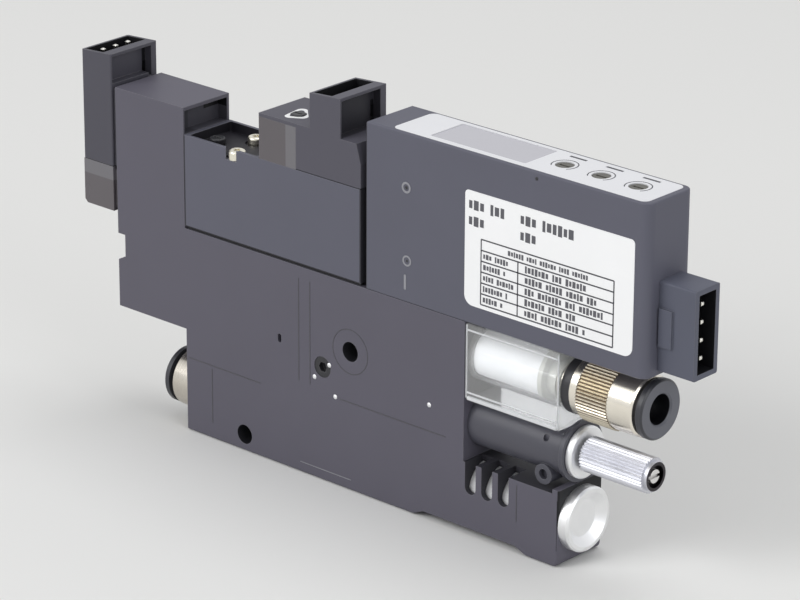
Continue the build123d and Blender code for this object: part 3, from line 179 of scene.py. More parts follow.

# %% [markdown]
# ### A zone in a box
# Some pieces change colour in one region: the painted shade inside a socket, the pale band of a
# lens.
# The zone could be cut out of the mesh, but the CAD meshes stay as they are. This group gives 1
# inside a box of space and 0 outside it, so the material itself knows where it is.

# %% Zone group
zone_group, zone_in, zone_out = new_group(
    "Zone",
    [("Low", "NodeSocketVector", (0, 0, 0)), ("High", "NodeSocketVector", (0, 0, 0))],
    [("Mask", "NodeSocketFloat")],
)
place = node(zone_group, "ShaderNodeTexCoord")
from_low = node(zone_group, "ShaderNodeVectorMath", operation="SUBTRACT")
to_high = node(zone_group, "ShaderNodeVectorMath", operation="SUBTRACT")
nearest = node(zone_group, "ShaderNodeVectorMath", operation="MINIMUM")
split = node(zone_group, "ShaderNodeSeparateXYZ")
zone_group.links.new(place.outputs["Object"], from_low.inputs[0])
zone_group.links.new(zone_in.outputs["Low"], from_low.inputs[1])
zone_group.links.new(zone_in.outputs["High"], to_high.inputs[0])
zone_group.links.new(place.outputs["Object"], to_high.inputs[1])
zone_group.links.new(from_low.outputs["Vector"], nearest.inputs[0])
zone_group.links.new(to_high.outputs["Vector"], nearest.inputs[1])
zone_group.links.new(nearest.outputs["Vector"], split.inputs[0])
depth_in = math_node(zone_group, "MINIMUM", split.outputs["X"], split.outputs["Y"])
depth_in = math_node(zone_group, "MINIMUM", depth_in, split.outputs["Z"])
zone_group.links.new(math_node(zone_group, "GREATER_THAN", depth_in, 0.0), zone_out.inputs["Mask"])
print("group", zone_group.name)

# %% [markdown]
# ### A zone round an axis
# Bores, grooves and screw ends are round, so a box doesn't fit them. This second group gives 1
# inside a short cylinder. Its Across input says which directions count as its radius: (0, 1, 1)
# lays the cylinder along X, (1, 0, 1) along Y. What is left over is the distance along the axis.

# %% Round zone group
round_group, round_in, round_out = new_group(
    "Round zone",
    [
        ("Centre", "NodeSocketVector", (0, 0, 0)),
        ("Across", "NodeSocketVector", (0, 1, 1)),
        ("Radius", "NodeSocketFloat", 0.002),
        ("Half length", "NodeSocketFloat", 0.002),
    ],
    [("Mask", "NodeSocketFloat")],
)
place = node(round_group, "ShaderNodeTexCoord")
from_centre = node(round_group, "ShaderNodeVectorMath", operation="SUBTRACT")
across = node(round_group, "ShaderNodeVectorMath", operation="MULTIPLY")
along = node(round_group, "ShaderNodeVectorMath", operation="SUBTRACT")
round_group.links.new(place.outputs["Object"], from_centre.inputs[0])
round_group.links.new(round_in.outputs["Centre"], from_centre.inputs[1])
round_group.links.new(from_centre.outputs["Vector"], across.inputs[0])
round_group.links.new(round_in.outputs["Across"], across.inputs[1])
round_group.links.new(from_centre.outputs["Vector"], along.inputs[0])
round_group.links.new(across.outputs["Vector"], along.inputs[1])
room = []
for part, limit in ((across, "Radius"), (along, "Half length")):
    size = node(round_group, "ShaderNodeVectorMath", operation="LENGTH")
    round_group.links.new(part.outputs["Vector"], size.inputs[0])
    room.append(math_node(round_group, "SUBTRACT", round_in.outputs[limit], size.outputs["Value"]))
inside = math_node(round_group, "GREATER_THAN", math_node(round_group, "MINIMUM", *room), 0.0)
round_group.links.new(inside, round_out.inputs["Mask"])
print("group", round_group.name)

# %% [markdown]
# ## Materials
# The colours are written as linear values, as Blender's sockets take them. A helper starts each
# material with its Principled shader, and another mixes two colours by a mask.


# %% Helpers for materials
materials = {}


def start_material(name, colour, roughness, **sockets):
    """A new material with a Principled shader; sockets are set by name with _ for a space."""
    made = bpy.data.materials.new(name)
    made.use_nodes = True
    tree = made.node_tree
    shader = tree.nodes["Principled BSDF"]
    shader.inputs["Base Color"].default_value = (*colour, 1.0)
    shader.inputs["Roughness"].default_value = roughness
    for label, value in sockets.items():
        shader.inputs[label.replace("_", " ")].default_value = value
    materials[name] = made
    return made, tree, shader


def use_group(tree, group, **values):
    """Places a node group in a material with its own values."""
    made = tree.nodes.new("ShaderNodeGroup")
    made.node_tree = group
    for label, value in values.items():
        made.inputs[label].default_value = value
    return made


def mix_colours(tree, mask, first, second):
    """A colour between two; each is a colour or a socket."""
    mix = node(tree, "ShaderNodeMix", data_type="RGBA")
    tree.links.new(mask, mix.inputs["Factor"])
    for slot, colour in ((6, first), (7, second)):
        if isinstance(colour, bpy.types.NodeSocket):
            tree.links.new(colour, mix.inputs[slot])
        else:
            mix.inputs[slot].default_value = (*colour, 1.0)
    return mix.outputs[2]


def between(tree, value, low, high):
    """Spreads a value from 0 to 1 over another range."""
    spread = node(tree, "ShaderNodeMapRange", {"To Min": low, "To Max": high})
    tree.links.new(value, spread.inputs["Value"])
    return spread.outputs["Result"]


def scaled(colour, factor):
    """A colour made darker or lighter."""
    return tuple(min(1.0, channel * factor) for channel in colour)


def drifting(tree, group, colour, drift):
    """A colour that a group's Tone takes a little down and up."""
    darker, lighter = scaled(colour, 1 - drift), scaled(colour, 1 + drift)
    return mix_colours(tree, group.outputs["Tone"], darker, lighter)


def add_bump(tree, shader, height, strength, distance, normal=None):
    """Bends a shader's normal by a height, on top of another normal if one is given."""
    bump = node(tree, "ShaderNodeBump", {"Strength": strength, "Distance": distance})
    tree.links.new(height, bump.inputs["Height"])
    if normal is not None:
        tree.links.new(normal, bump.inputs["Normal"])
    tree.links.new(bump.outputs["Normal"], shader.inputs["Normal"])


print("material helpers ready")

# %% [markdown]
# ### Moulded plastic
# The housings are moulded in a slate grey plastic with glass fibre in it, which looks dull and a
# little mottled. Its edges are painted slightly paler, partly where handling rubs them and partly
# as a painted highlight where they catch the light. The same recipe with other values makes the
# black pieces, the buttons, the rubber rings and the circuit board.


# %% Moulded plastic
mould_grain = 5000.0
mould_depth = 0.00005
mould_drift = 0.06
mould_edge = 0.00018
gloss_drift = 0.07
rubbed_and_highlit_plastic = 0.8
rub_and_highlight_share = 0.35


def moulded(name, colour, roughness=0.5, bump=0.06, rub_and_highlight=0.35, **sockets):
    """Plastic or rubber with mould grain, a drifting tone, and paler edges: partly rubbed, partly a
    painted highlight.
    """
    made, tree, shader = start_material(name, colour, roughness, **sockets)
    skin = use_group(tree, grain_group, Scale=mould_grain)
    edges = use_group(tree, edge_group, Radius=mould_edge)
    tone = drifting(tree, skin, colour, mould_drift)
    # Paler edges: partly rubbing, partly a painted highlight where the edges catch the light.
    edge_rub_and_highlight = math_node(tree, "MULTIPLY", edges.outputs["Mask"], rub_and_highlight)
    paler = tuple(channel + (rubbed_and_highlit_plastic - channel) * rub_and_highlight_share for channel in colour)
    tree.links.new(mix_colours(tree, edge_rub_and_highlight, tone, paler), shader.inputs["Base Color"])
    gloss = between(tree, skin.outputs["Tone"], roughness - gloss_drift, roughness + gloss_drift)
    tree.links.new(gloss, shader.inputs["Roughness"])
    add_bump(tree, shader, skin.outputs["Height"], bump, mould_depth, edges.outputs["Normal"])
    return made


slate = (0.107, 0.102, 0.131)
slate_finish = {"roughness": 0.52, "Specular_IOR_Level": 0.35}
moulded("slate_plastic", slate, **slate_finish)
moulded("black_plastic", (0.022, 0.022, 0.026), 0.4)
moulded("barrel_plastic", (0.071, 0.071, 0.09), 0.42, bump=0.04)
moulded("sleeve_plastic", (0.045, 0.046, 0.055), 0.36, bump=0.03)
moulded("spacer_plastic", (0.5, 0.5, 0.45), 0.22, Coat_Weight=0.5)
moulded("trimmer_plastic", (0.115, 0.11, 0.095), 0.45)
moulded("rubber", (0.02, 0.02, 0.02), 0.6)
moulded("board_green", (0.03, 0.16, 0.07), 0.4)
moulded("pale_slate", (0.29, 0.29, 0.32), 0.45)
moulded("line_slate", (0.058, 0.056, 0.07), 0.5)
moulded("bead_plastic", (0.72, 0.73, 0.75), 0.12, bump=0.01, Coat_Weight=1.0)
moulded("module_black", (0.02, 0.02, 0.022), 0.35)
print(len(materials), "moulded materials")

# %% [markdown]
# ### Sockets, pockets and bores
# Hardly any light reaches the inside of the sockets, the pocket round the valve's screws or the
# middle of the mounting holes. Light that bounces about leaves such places too pale, so copies of
# the slate plastic have zones of painted shade that turn them black or dark, each with its own
# place and tone.
# The zones are laid over the colour one after another.


# %% Helpers for zones
def box_zone(low, high, tone):
    """A zone between two corners, in millimetres."""
    return zone_group, {"Low": [v * MM for v in low], "High": [v * MM for v in high]}, tone


def round_zone(centre, across, radius, half, tone):
    """A zone round an axis, in millimetres."""
    values = {
        "Centre": [v * MM for v in centre],
        "Across": across,
        "Radius": radius * MM,
        "Half length": half * MM,
    }
    return round_group, values, tone


def add_zones(made, *zones):
    """Lays zones over a material's base colour."""
    tree = made.node_tree
    shader = tree.nodes["Principled BSDF"]
    colour = shader.inputs["Base Color"].links[0].from_socket
    for group, values, tone in zones:
        zone = use_group(tree, group, **values)
        colour = mix_colours(tree, zone.outputs["Mask"], colour, tone)
    tree.links.new(colour, shader.inputs["Base Color"])


def slate_with(name, *zones, colour=slate):
    """Slate plastic with zones."""
    add_zones(moulded(name, colour, **slate_finish), *zones)


# Tones of painted shade for hollows, gaps and seams.
black = (0.006, 0.006, 0.008)
dim_shade = (0.035, 0.034, 0.043)
deep_shade = (0.014, 0.013, 0.018)
along_x = (0, 1, 1)
along_y = (1, 0, 1)
print("zone helpers ready")

# %% [markdown]
# The column and the release valve each end in a socket for a cable's plug: an opening, a shallow
# recess in front of it and a keyhole between the two. Painted shade turns the opening and the
# keyhole black and the recess dark. The three zones keep their distances from the socket's walls,
# so one function serves both. The column's recess gets enough light to do without its zone. The
# switch's socket is simpler, and one zone of painted shade fills it.

# %% Sockets
socket_wall = 0.49
socket_half = 4.76
latch_wall = 2.19
recess_near, recess_far = -4.96, 3.96
recess_depth = 1.51
keyhole_near = 3.2
keyhole_depth = 2.3


def socket_zones(x0, x1, floor, top, recess):
    """Painted shade: the black opening of a socket, the darker recess in front of it and the black
    keyhole between them.
    """
    opening = box_zone(
        (x0 + socket_wall, -socket_half, floor - 0.4),
        (x1 - latch_wall, socket_half, top + 0.1),
        black,
    )
    sunk_shade = box_zone(
        (x1 - recess_depth, recess_near, recess - 0.01),
        (x1 - 0.02, recess_far, top - socket_wall),
        dim_shade,
    )
    keyhole = box_zone(
        (x1 - keyhole_depth, keyhole_near, recess - 0.7),
        (x1 - recess_depth + 0.02, recess_far, recess + 4.0),
        black,
    )
    return opening, sunk_shade, keyhole


column_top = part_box("supply_plug")[1].z / MM
release_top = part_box("release_housing")[1].z / MM
opening, _, keyhole = socket_zones(-48.1, -41.3, 41.8, column_top, 42.8)
slate_with("column_plastic", opening, keyhole, colour=(0.072, 0.07, 0.089))
side = 5.3
# Painted shade darkens the seam at the foot of the release valve.
release_seam_shade = box_zone((0.1, -side, 38.0), (13.9, side, 38.16), deep_shade)
slate_with(
    "release_plastic",
    *socket_zones(3.1, 9.6, 45.8, release_top, 45.3),
    release_seam_shade,
    colour=(0.086, 0.083, 0.106),
)
plug_low, plug_high = (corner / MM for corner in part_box("switch_plug"))
# Painted shade fills the mouth of the switch's plug.
plug_mouth_shade = box_zone(
    (plug_high.x - 6.0, plug_low.y + 1.2, plug_low.z + 0.8),
    (plug_high.x - 0.02, plug_high.y - 0.3, plug_high.z - 0.8),
    black,
)
slate_with("plug_plastic", plug_mouth_shade, colour=(0.1, 0.106, 0.142))
print("sockets reach", round(column_top, 2), "and", round(release_top, 2), "mm")

# %% [markdown]
# The valve and the switch are moulded in a slightly bluer plastic. Where two housings meet, light
# doesn't reach into the gap, so narrow zones darken the edges on both sides of each seam.

# %% Valve and switch
valve_low, valve_high = (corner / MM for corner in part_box("valve_body"))
switch_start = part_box("switch_case")[0].x / MM
cool_slate = (0.108, 0.109, 0.142)
seam_low = 22.3
seam_height = 0.32
valve_rear, valve_front = -25, 14
# Painted shade darkens the pocket round the screws and the seam under the valve.
pocket_shade = box_zone(
    (-23.92, -4.72, valve_high.z - 6.5), (-8.88, 4.72, valve_high.z - 0.03), deep_shade
)
under_valve_shade = box_zone(
    (valve_rear, -side, seam_low), (valve_front, side, seam_low + seam_height), deep_shade
)
front_seam = box_zone((valve_front - 0.35, -side, seam_low), (valve_front, side, 38.1), dim_shade)
rear_seam = box_zone((-24.75, -side, seam_low), (-24.5, side, 37.9), dim_shade)
slate_with("valve_plastic", pocket_shade, under_valve_shade, front_seam, rear_seam, colour=cool_slate)
switch_seam = box_zone((switch_start - 0.1, -side, 22.0), (switch_start + 0.12, side, 50), dim_shade)
slate_with("switch_plastic", switch_seam, colour=cool_slate)
print("valve from", round(valve_low.z, 2), "to", round(valve_high.z, 2), "mm")

# %% [markdown]
# The body has the most places of painted shade: a sunk panel in its tower, darker still on its near
# side, with a slot under the lip, the vents above the silencer, the end behind the white cap, and
# two holes that go right through.

# %% Body
panel_low, panel_high = (-26.82, -4.96, 37.9), (-24.82, 4.76, 41.95)
panel_shade_high = (-24.82, -2.2, 41.95)
hole_radius = 1.66
hole_reach = 5.22
hole_shade = (0.016, 0.016, 0.02)
# Painted shade: the panel, its near side, the slot, the vents, the end round the cap and the holes.
panel = box_zone(panel_low, panel_high, (0.078, 0.076, 0.094))
panel_shade = box_zone(panel_low, panel_shade_high, (0.05, 0.049, 0.06))
lip_slot = box_zone((-27.0, 1.4, 40.35), (-24.9, 4.85, 42.0), black)
vent_shade = box_zone((35.6, -5.23, -10.5), (53.45, 5.23, -1.05), dim_shade)
nose_end_shadow = box_zone((54.4, -5.2, -6.4), (54.8, 5.2, -0.55), black)
nose_corner_shadow = box_zone((54.42, -5.3, -10.6), (54.8, -5.2, -2.2), black)
holes = [
    round_zone((x, 0, z), along_y, hole_radius, hole_reach, hole_shade)
    for x, z in ((11.7, 10.45), (-11.7, -10.45))
]
slate_with("body_plastic", panel, panel_shade, lip_slot, vent_shade, nose_end_shadow, nose_corner_shadow, *holes)
print("holes", 2 * hole_radius, "mm wide")

# %% [markdown]
# ### Turned and plated metal
# The suction fitting is brass with a nickel plate, which has a warm tint. The needle, the screws
# and the springs are bright steel. A metal takes all its colour from what it reflects, so its
# Metallic value is 1 and the roughness decides how soft the reflections are.


# %% Metals
metal_drift = 0.08
metal_edge = 0.00012
smoother, rougher = 0.08, 0.1
ring_depth = 0.00003


def turned_metal(name, colour, roughness, scale=9000.0, bump=0.08):
    """Metal with the rings of a lathe and slightly rounded edges."""
    made, tree, shader = start_material(name, colour, roughness, Metallic=1.0)
    rings = use_group(tree, turn_group, Scale=scale)
    edges = use_group(tree, edge_group, Radius=metal_edge)
    tree.links.new(drifting(tree, rings, colour, metal_drift), shader.inputs["Base Color"])
    gloss = between(tree, rings.outputs["Height"], roughness - smoother, roughness + rougher)
    tree.links.new(gloss, shader.inputs["Roughness"])
    add_bump(tree, shader, rings.outputs["Height"], bump, ring_depth, edges.outputs["Normal"])
    return made


turned_metal("nickel", (0.66, 0.615, 0.545), 0.24)
turned_metal("bright_steel", (0.74, 0.75, 0.78), 0.22)
turned_metal("pale_metal", (0.94, 0.945, 0.955), 0.42)
turned_metal("brass", (0.72, 0.52, 0.25), 0.25)
turned_metal("aluminium", (0.76, 0.77, 0.79), 0.3)
turned_metal("iron", (0.5, 0.5, 0.52), 0.38)
turned_metal("copper", (0.75, 0.38, 0.2), 0.3, scale=4000.0, bump=0.4)
turned_metal("pin_metal", (0.88, 0.86, 0.8), 0.2)
turned_metal("nut_steel", (0.95, 0.955, 0.965), 0.46)
turned_metal("screw_steel", (0.86, 0.82, 0.7), 0.3)
print("metals ready")

# %% [markdown]
# The needle's knob has a sunk end: painted shade darkens its end face and its hollow, and a painted
# highlight brightens the stub in the middle. The fitting's grip is darker, with painted shade
# between its teeth, and the bores of the fitting and its sleeve are painted black as shade. Zones
# on one axis lie in each other, so the widest comes first and the narrowest last.

# %% Needle, grip and sleeve
needle_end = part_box("needle")[1].x / MM
needle_z = 4.6
suction_z = 15.6
grip_x = 60.25
grip_reach = 2.96
sleeve_x = 66.0
sleeve_reach = 4.0
add_zones(
    turned_metal("needle_steel", (0.66, 0.665, 0.71), 0.38),
    round_zone((needle_end, 0, needle_z), along_x, 2.3, 0.05, (0.06, 0.055, 0.06)),
    round_zone((needle_end - 0.5, 0, needle_z), along_x, 1.82, 0.49, (0.02, 0.018, 0.02)),
    round_zone((needle_end - 0.5, 0, needle_z), along_x, 1.13, 0.6, (0.8, 0.79, 0.78)),
)
add_zones(
    turned_metal("vacuum_nickel", (0.86, 0.81, 0.71), 0.2),
    round_zone((grip_x, 0, suction_z), along_x, 6.0, grip_reach, (0.6, 0.545, 0.44)),
    round_zone((grip_x, 0, suction_z), along_x, 4.98, grip_reach, (0.13, 0.1, 0.07)),
    round_zone((64.0, 0, suction_z), along_x, 4.0, 3.7, (0.05, 0.05, 0.05)),
)
add_zones(
    moulded("vacuum_sleeve_plastic", (0.035, 0.036, 0.044), 0.36, bump=0.03),
    round_zone((sleeve_x, 0, suction_z), along_x, 4.45, sleeve_reach, (0.115, 0.119, 0.142)),
    round_zone((sleeve_x, 0, suction_z), along_x, 2.42, sleeve_reach, black),
)
print("needle ends at", round(needle_end, 2), "mm")

# %% [markdown]
# ### Films
# The panel on top of the pressure switch and the plate on its side are thin printed films: a white
# or grey ink under a satin skin. Real ink is never quite even, so a fine noise changes the tone by
# a few hundredths.


# %% Printed films
film_peel = 1800.0
film_depth = 0.00003
film_drift = 0.03
film_gloss = 0.05


def film(name, colour, roughness=0.35):
    """A printed film with a very slight orange peel."""
    tree, shader = start_material(name, colour, roughness)[1:]
    skin = use_group(tree, grain_group, Scale=film_peel)
    tree.links.new(drifting(tree, skin, colour, film_drift), shader.inputs["Base Color"])
    gloss = between(tree, skin.outputs["Tone"], roughness - film_gloss, roughness + film_gloss)
    tree.links.new(gloss, shader.inputs["Roughness"])
    add_bump(tree, shader, skin.outputs["Height"], 0.05, film_depth)


film("white_panel", (0.8, 0.805, 0.835))
film("plate_white", (0.95, 0.955, 0.965))
film("display_grey", (0.52, 0.515, 0.56), 0.25)
film("print_ink", (0.05, 0.05, 0.062), 0.5)
film("field_ink", (0.1, 0.1, 0.115), 0.5)
print("films ready")

# %% [markdown]
# ### Felt and filter
# The silencer and the filter element are porous: tiny fibres and holes that scatter the light.
# A strong, fine bump with dark specks gives the look without modelling a single fibre.

# %% Porous white
pore_scale = 3500.0
pore_depth = 0.0001
pore_level = 0.62
fibre, pore = (0.9, 0.905, 0.92), (0.74, 0.745, 0.77)
tree, shader = start_material("filter_white", fibre, 0.85, Sheen_Weight=0.3)[1:]
skin = use_group(tree, grain_group, Scale=pore_scale)
pits = math_node(tree, "SUBTRACT", pore_level, skin.outputs["Height"])
speck = mix_colours(tree, math_node(tree, "MULTIPLY", pits, 2.0), fibre, pore)
tree.links.new(speck, shader.inputs["Base Color"])
add_bump(tree, shader, skin.outputs["Height"], 0.5, pore_depth)
print("porous material ready")

# %% [markdown]
# ### Clear plastic
# The filter's case is clear, so that the user sees when the element is dirty. Light that reaches
# the element has to pass the case, and a path tracer finds such paths slowly. For shadow rays only,
# the material is therefore transparent. A thick block of glass would also bend the view so much
# that the element seemed thin. A low IOR keeps it in its place, and a clear coat gives the gloss
# back.

# %% Clear plastic
clear_tones = (0.95, 0.965, 0.975), (0.985, 0.99, 0.99)
clear_gloss = 0.02, 0.09
clear_scale = 900.0
tree, shader = start_material(
    "clear_plastic", clear_tones[1], 0.04, Transmission_Weight=0.8, IOR=1.1, Coat_Weight=1.0
)[1:]
skin = use_group(tree, grain_group, Scale=clear_scale)
gloss = between(tree, skin.outputs["Tone"], *clear_gloss)
tree.links.new(gloss, shader.inputs["Roughness"])
tint = mix_colours(tree, skin.outputs["Tone"], *clear_tones)
tree.links.new(tint, shader.inputs["Base Color"])
let_through = node(tree, "ShaderNodeBsdfTransparent")
rays = node(tree, "ShaderNodeLightPath")
choose = node(tree, "ShaderNodeMixShader")
output = tree.nodes["Material Output"]
tree.links.new(rays.outputs["Is Shadow Ray"], choose.inputs["Fac"])
tree.links.new(shader.outputs["BSDF"], choose.inputs[1])
tree.links.new(let_through.outputs["BSDF"], choose.inputs[2])
tree.links.new(choose.outputs["Shader"], output.inputs["Surface"])
print("clear plastic ready")

# %% [markdown]
# ### Smoky lenses
# The lenses over the indicator lamps are a dark, smoky plastic with a paler band. They hardly let
# any light through, so a glossy solid plastic is enough, and a zone gives the band.

# %% Smoky lenses
smoky = (0.092, 0.081, 0.09)
band_tone = (0.142, 0.137, 0.152)
for lens, low, high in (
    ("supply_lens_plastic", (-60, -10, 26.2), (-30, 10, 30)),
    ("release_lens_plastic", (-2.1, -10, 30), (5, 10, 60)),
):
    plastic = moulded(lens, smoky, 0.25, bump=0.02, rub_and_highlight=0.2, Coat_Weight=0.4)
    add_zones(plastic, box_zone(low, high, band_tone))
print("two lens materials ready")

# %% [markdown]
# ## Dress the CAD nodes
# Every node that stays visible gets its material here. Most take the finish of their slot in the
# record; a few need their own version, such as the housings with a black socket.

# %% Assign the materials
own_material = {
    "supply_plug": "column_plastic",
    "release_housing": "release_plastic",
    "switch_plug": "plug_plastic",
    "valve_body": "valve_plastic",
    "supply_lens": "supply_lens_plastic",
    "release_lens": "release_lens_plastic",
    "switch_case": "switch_plastic",
    "main_body": "body_plastic",
    "needle": "needle_steel",
    "needle_lock_nut": "nut_steel",
    "valve_screws": "screw_steel",
    "vacuum_fitting": "vacuum_nickel",
    "vacuum_release_sleeve": "vacuum_sleeve_plastic",
}
for row in frame["record"]["subparts"]:
    cad = frame["nodes"][row["node"]]
    wanted = materials[own_material.get(row["node"], row["material_slot"])]
    cad.data.materials.clear()
    cad.data.materials.append(wanted)

# %% [markdown]
# ## Thin pieces
# Films, prints and small marks could all be painted on with a texture. A thin piece of its own has
# a real edge that catches the light, and it stays crisp from any distance. The helpers turn an
# outline into a prism between two heights, and make each piece ride on the body that carries it.


# %% Helpers for thin pieces
def finish_piece(mesh_data, name, body, material, smooth=False):
    """Turns a bmesh into a piece with a material that rides on a body."""
    mesh = bpy.data.meshes.new(name)
    mesh_data.normal_update()
    mesh_data.to_mesh(mesh)
    mesh_data.free()
    made = bpy.data.objects.new(name, mesh)
    bpy.context.scene.collection.objects.link(made)
    mesh.materials.append(materials[material])
    if smooth:
        for polygon in mesh.polygons:
            polygon.use_smooth = True
    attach(made, body)
    print(name, "has", len(mesh.polygons), "faces")


def side_point(x, z, y):
    """A point for an outline on the label side, whose heights go along Y, in millimetres."""
    return Vector((x, y, z)) * MM


def top_point(x, y, z):
    """A point for an outline on a top face, whose heights go along Z, in millimetres."""
    return Vector((x, y, z)) * MM


def prism(mesh_data, outline, low, high, to_space):
    """Adds a flat piece with straight sides: an outline of (u, v) between two heights."""
    rings = []
    for level in (low, high):
        rings.append([mesh_data.verts.new(to_space(u, v, level)) for u, v in outline])
    mesh_data.faces.new(rings[1])
    mesh_data.faces.new(list(reversed(rings[0])))
    for i in range(len(outline)):
        j = (i + 1) % len(outline)
        mesh_data.faces.new([rings[0][i], rings[0][j], rings[1][j], rings[1][i]])


def rectangle(u0, u1, v0, v1, corners=(0, 0, 0, 0), steps=6):
    """An outline with its own radius at each corner, from the lower left, anticlockwise."""
    places = [(u0, v0, 180), (u1, v0, 270), (u1, v1, 0), (u0, v1, 90)]
    outline = []
    for (u, v, start), radius in zip(places, corners):
        if radius == 0:
            outline.append((u, v))
            continue
        cu = u + radius if u == u0 else u - radius
        cv = v + radius if v == v0 else v - radius
        for i in range(steps + 1):
            angle = math.radians(start + 90 * i / steps)
            outline.append((cu + radius * math.cos(angle), cv + radius * math.sin(angle)))
    return outline


print("thin piece helpers ready")

# %% [markdown]
# ## The plate on the switch's side
# A white film is stuck to the side of the switch. Its lower corners are well rounded, so that they
# don't peel, and the upper ones only a little.

# %% The plate
side_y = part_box("switch_case")[0].y / MM
plate_x = (35.4, 68.2)
plate_z = (25.0, 43.5)
plate_corners = (1.6, 1.6, 0.7, 0.7)
plate_thick = 0.08
sheet = bmesh.new()
outline = rectangle(*plate_x, *plate_z, plate_corners)
prism(sheet, outline, side_y, side_y - plate_thick, side_point)
finish_piece(sheet, "side_plate", "unit", "plate_white")
print("plate", plate_x[1] - plate_x[0], "by", plate_z[1] - plate_z[0], "mm")

# %% [markdown]
# The table has a frame, a full-width heading row, and rows in two columns below it. All its rules
# are narrow strips in one mesh, just proud of the film.

# %% The table's rules
table_x = (38.7, 64.5)
table_z = (25.7, 36.2)
column_x = 46.0
row_count = 6
rule = 0.22
row_h = (table_z[1] - table_z[0]) / row_count


def printed(mesh_data, u0, u1, v0, v1):
    """A printed strip on the side plate."""
    prism(mesh_data, rectangle(u0, u1, v0, v1), side_y - 0.07, side_y - 0.1, side_point)


rules = bmesh.new()
for i in range(row_count + 1):
    z = table_z[0] + i * row_h
    printed(rules, *table_x, z - rule / 2, z + rule / 2)
for x, top in ((table_x[0], table_z[1]), (column_x, table_z[1] - row_h), (table_x[1], table_z[1])):
    printed(rules, x - rule / 2, x + rule / 2, table_z[0], top)
finish_piece(rules, "side_plate_rules", "unit", "print_ink")
print("table with", row_count, "rows of", round(row_h, 2), "mm")

# %% [markdown]
# The fields are filled with groups of small plain dashes, which give the plate an even grey from
# afar. Their widths and heights come from one short list, read round and round from a different
# start in each row, so that no two rows are alike.

# %% Dashes in the fields
dashes = (
    (0.32, 0.7),
    (0.26, 0.5),
    (0.38, 0.62),
    (0.3, 0.5),
    (0.22, 0.7),
    (0.34, 0.56),
    (0.28, 0.64),
)
groups = (5, 3, 6, 4, 7)
dash_gap = 0.12
group_gap = 0.4


def fill_field(mesh_data, u0, u1, z, size, first):
    """Groups of small dashes between u0 and u1, in the middle of a field."""
    u = u0
    number = first
    left = groups[first % len(groups)]
    while u + dashes[0][0] * size < u1:
        width, height = dashes[number % len(dashes)]
        printed(mesh_data, u, u + width * size, z - height * size / 2, z + height * size / 2)
        u += (width + dash_gap) * size
        number += 1
        left -= 1
        if left == 0:
            u += group_gap * size
            left = groups[number % len(groups)]


fields = bmesh.new()
for row in range(row_count):
    z = table_z[1] - (row + 0.5) * row_h
    if row == 0:
        fill_field(fields, 44.0, 60.5, z, 1.25, 2)
        continue
    fill_field(fields, table_x[0] + 0.45, column_x - 0.6 - 0.9 * (row % 3), z, 1.35, row)
    fill_field(fields, column_x + 1.4, 57.5 + 2.0 * (row % 4), z, 1.6, row + 3)
for z, u0, u1 in ((41.3, 36.2, 43.9), (41.3, 46.4, 56.6), (38.7, 36.2, 41.0), (38.7, 46.4, 51.0)):
    fill_field(fields, u0, u1, z, 2.5, 1)
finish_piece(fields, "side_plate_fields", "unit", "field_ink")
print("dashes in", row_count, "rows")

# %% [markdown]
# ## Marks on the top panel
# Three trimmers set the switch. Round each one the panel has a thin arc that shows its range, and a
# short strip marks its place. These marks are printed on the white film.

# %% Arcs round the trimmers
panel_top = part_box("switch_panel")[1].z / MM
arc_outer, arc_inner = 2.15, 1.98
arc_start, arc_sweep, arc_steps = -45, 270, 24
arc_angles = [math.radians(arc_start + arc_sweep * i / arc_steps) for i in range(arc_steps + 1)]
marks = bmesh.new()
for number in (1, 2, 3):
    low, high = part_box(f"trimmer_{number}")
    middle_x = (low.x + high.x) / 2 / MM
    arc = []
    for radius, angles in ((arc_outer, arc_angles), (arc_inner, arc_angles[::-1])):
        arc += [(middle_x + radius * math.cos(a), radius * math.sin(a)) for a in angles]
    strip = rectangle(middle_x - 1.9, middle_x + 1.3, 3.3, 3.75)
    for shape in (arc, strip):
        prism(marks, shape, panel_top - 0.01, panel_top + 0.02, top_point)
finish_piece(marks, "panel_marks", "unit", "print_ink")
print("marks on the panel at", round(panel_top, 2), "mm")

# %% [markdown]
# ## The mark round the manual button
# The button on the release valve is small and dark, so a white line with three rounded corners is
# printed round it. Two helpers are needed: one replaces the corners of a polygon by arcs, and the
# other makes a strip between two outlines.


# %% Rounded polygon
def rounded(corners, radius, steps=8):
    """The outline of a polygon, listed anticlockwise, with rounded corners."""
    outline = []
    for i, here in enumerate(corners):
        before, after = Vector(corners[i - 1]), Vector(corners[(i + 1) % len(corners)])
        here = Vector(here)
        to_before, to_after = (before - here).normalized(), (after - here).normalized()
        half = to_before.angle(to_after) / 2
        middle = here + (to_before + to_after).normalized() * (radius / math.sin(half))
        start = here + to_before * (radius / math.tan(half))
        first = math.atan2(start.y - middle.y, start.x - middle.x)
        sweep = math.pi - 2 * half
        for step in range(steps + 1):
            angle = first + sweep * step / steps
            point = middle.x + radius * math.cos(angle), middle.y + radius * math.sin(angle)
            outline.append(point)
    return outline


def outline_strip(mesh_data, rim, hole, low, high, to_space):
    """A raised strip between two outlines with as many points each."""
    loops = []
    for outline, level in ((rim, low), (rim, high), (hole, high), (hole, low)):
        loops.append([mesh_data.verts.new(to_space(u, v, level)) for u, v in outline])
    for first, second in zip(loops, loops[1:] + loops[:1]):
        for i in range(len(first)):
            j = (i + 1) % len(first)
            mesh_data.faces.new([first[i], first[j], second[j], second[i]])


print("outline helpers ready")

# %% [markdown]
# The outer outline is cut into short steps, and each of its points is moved towards the button to
# give the inner one. No inner point comes nearer than the edge of the button's hole, because a
# print can't cross it.

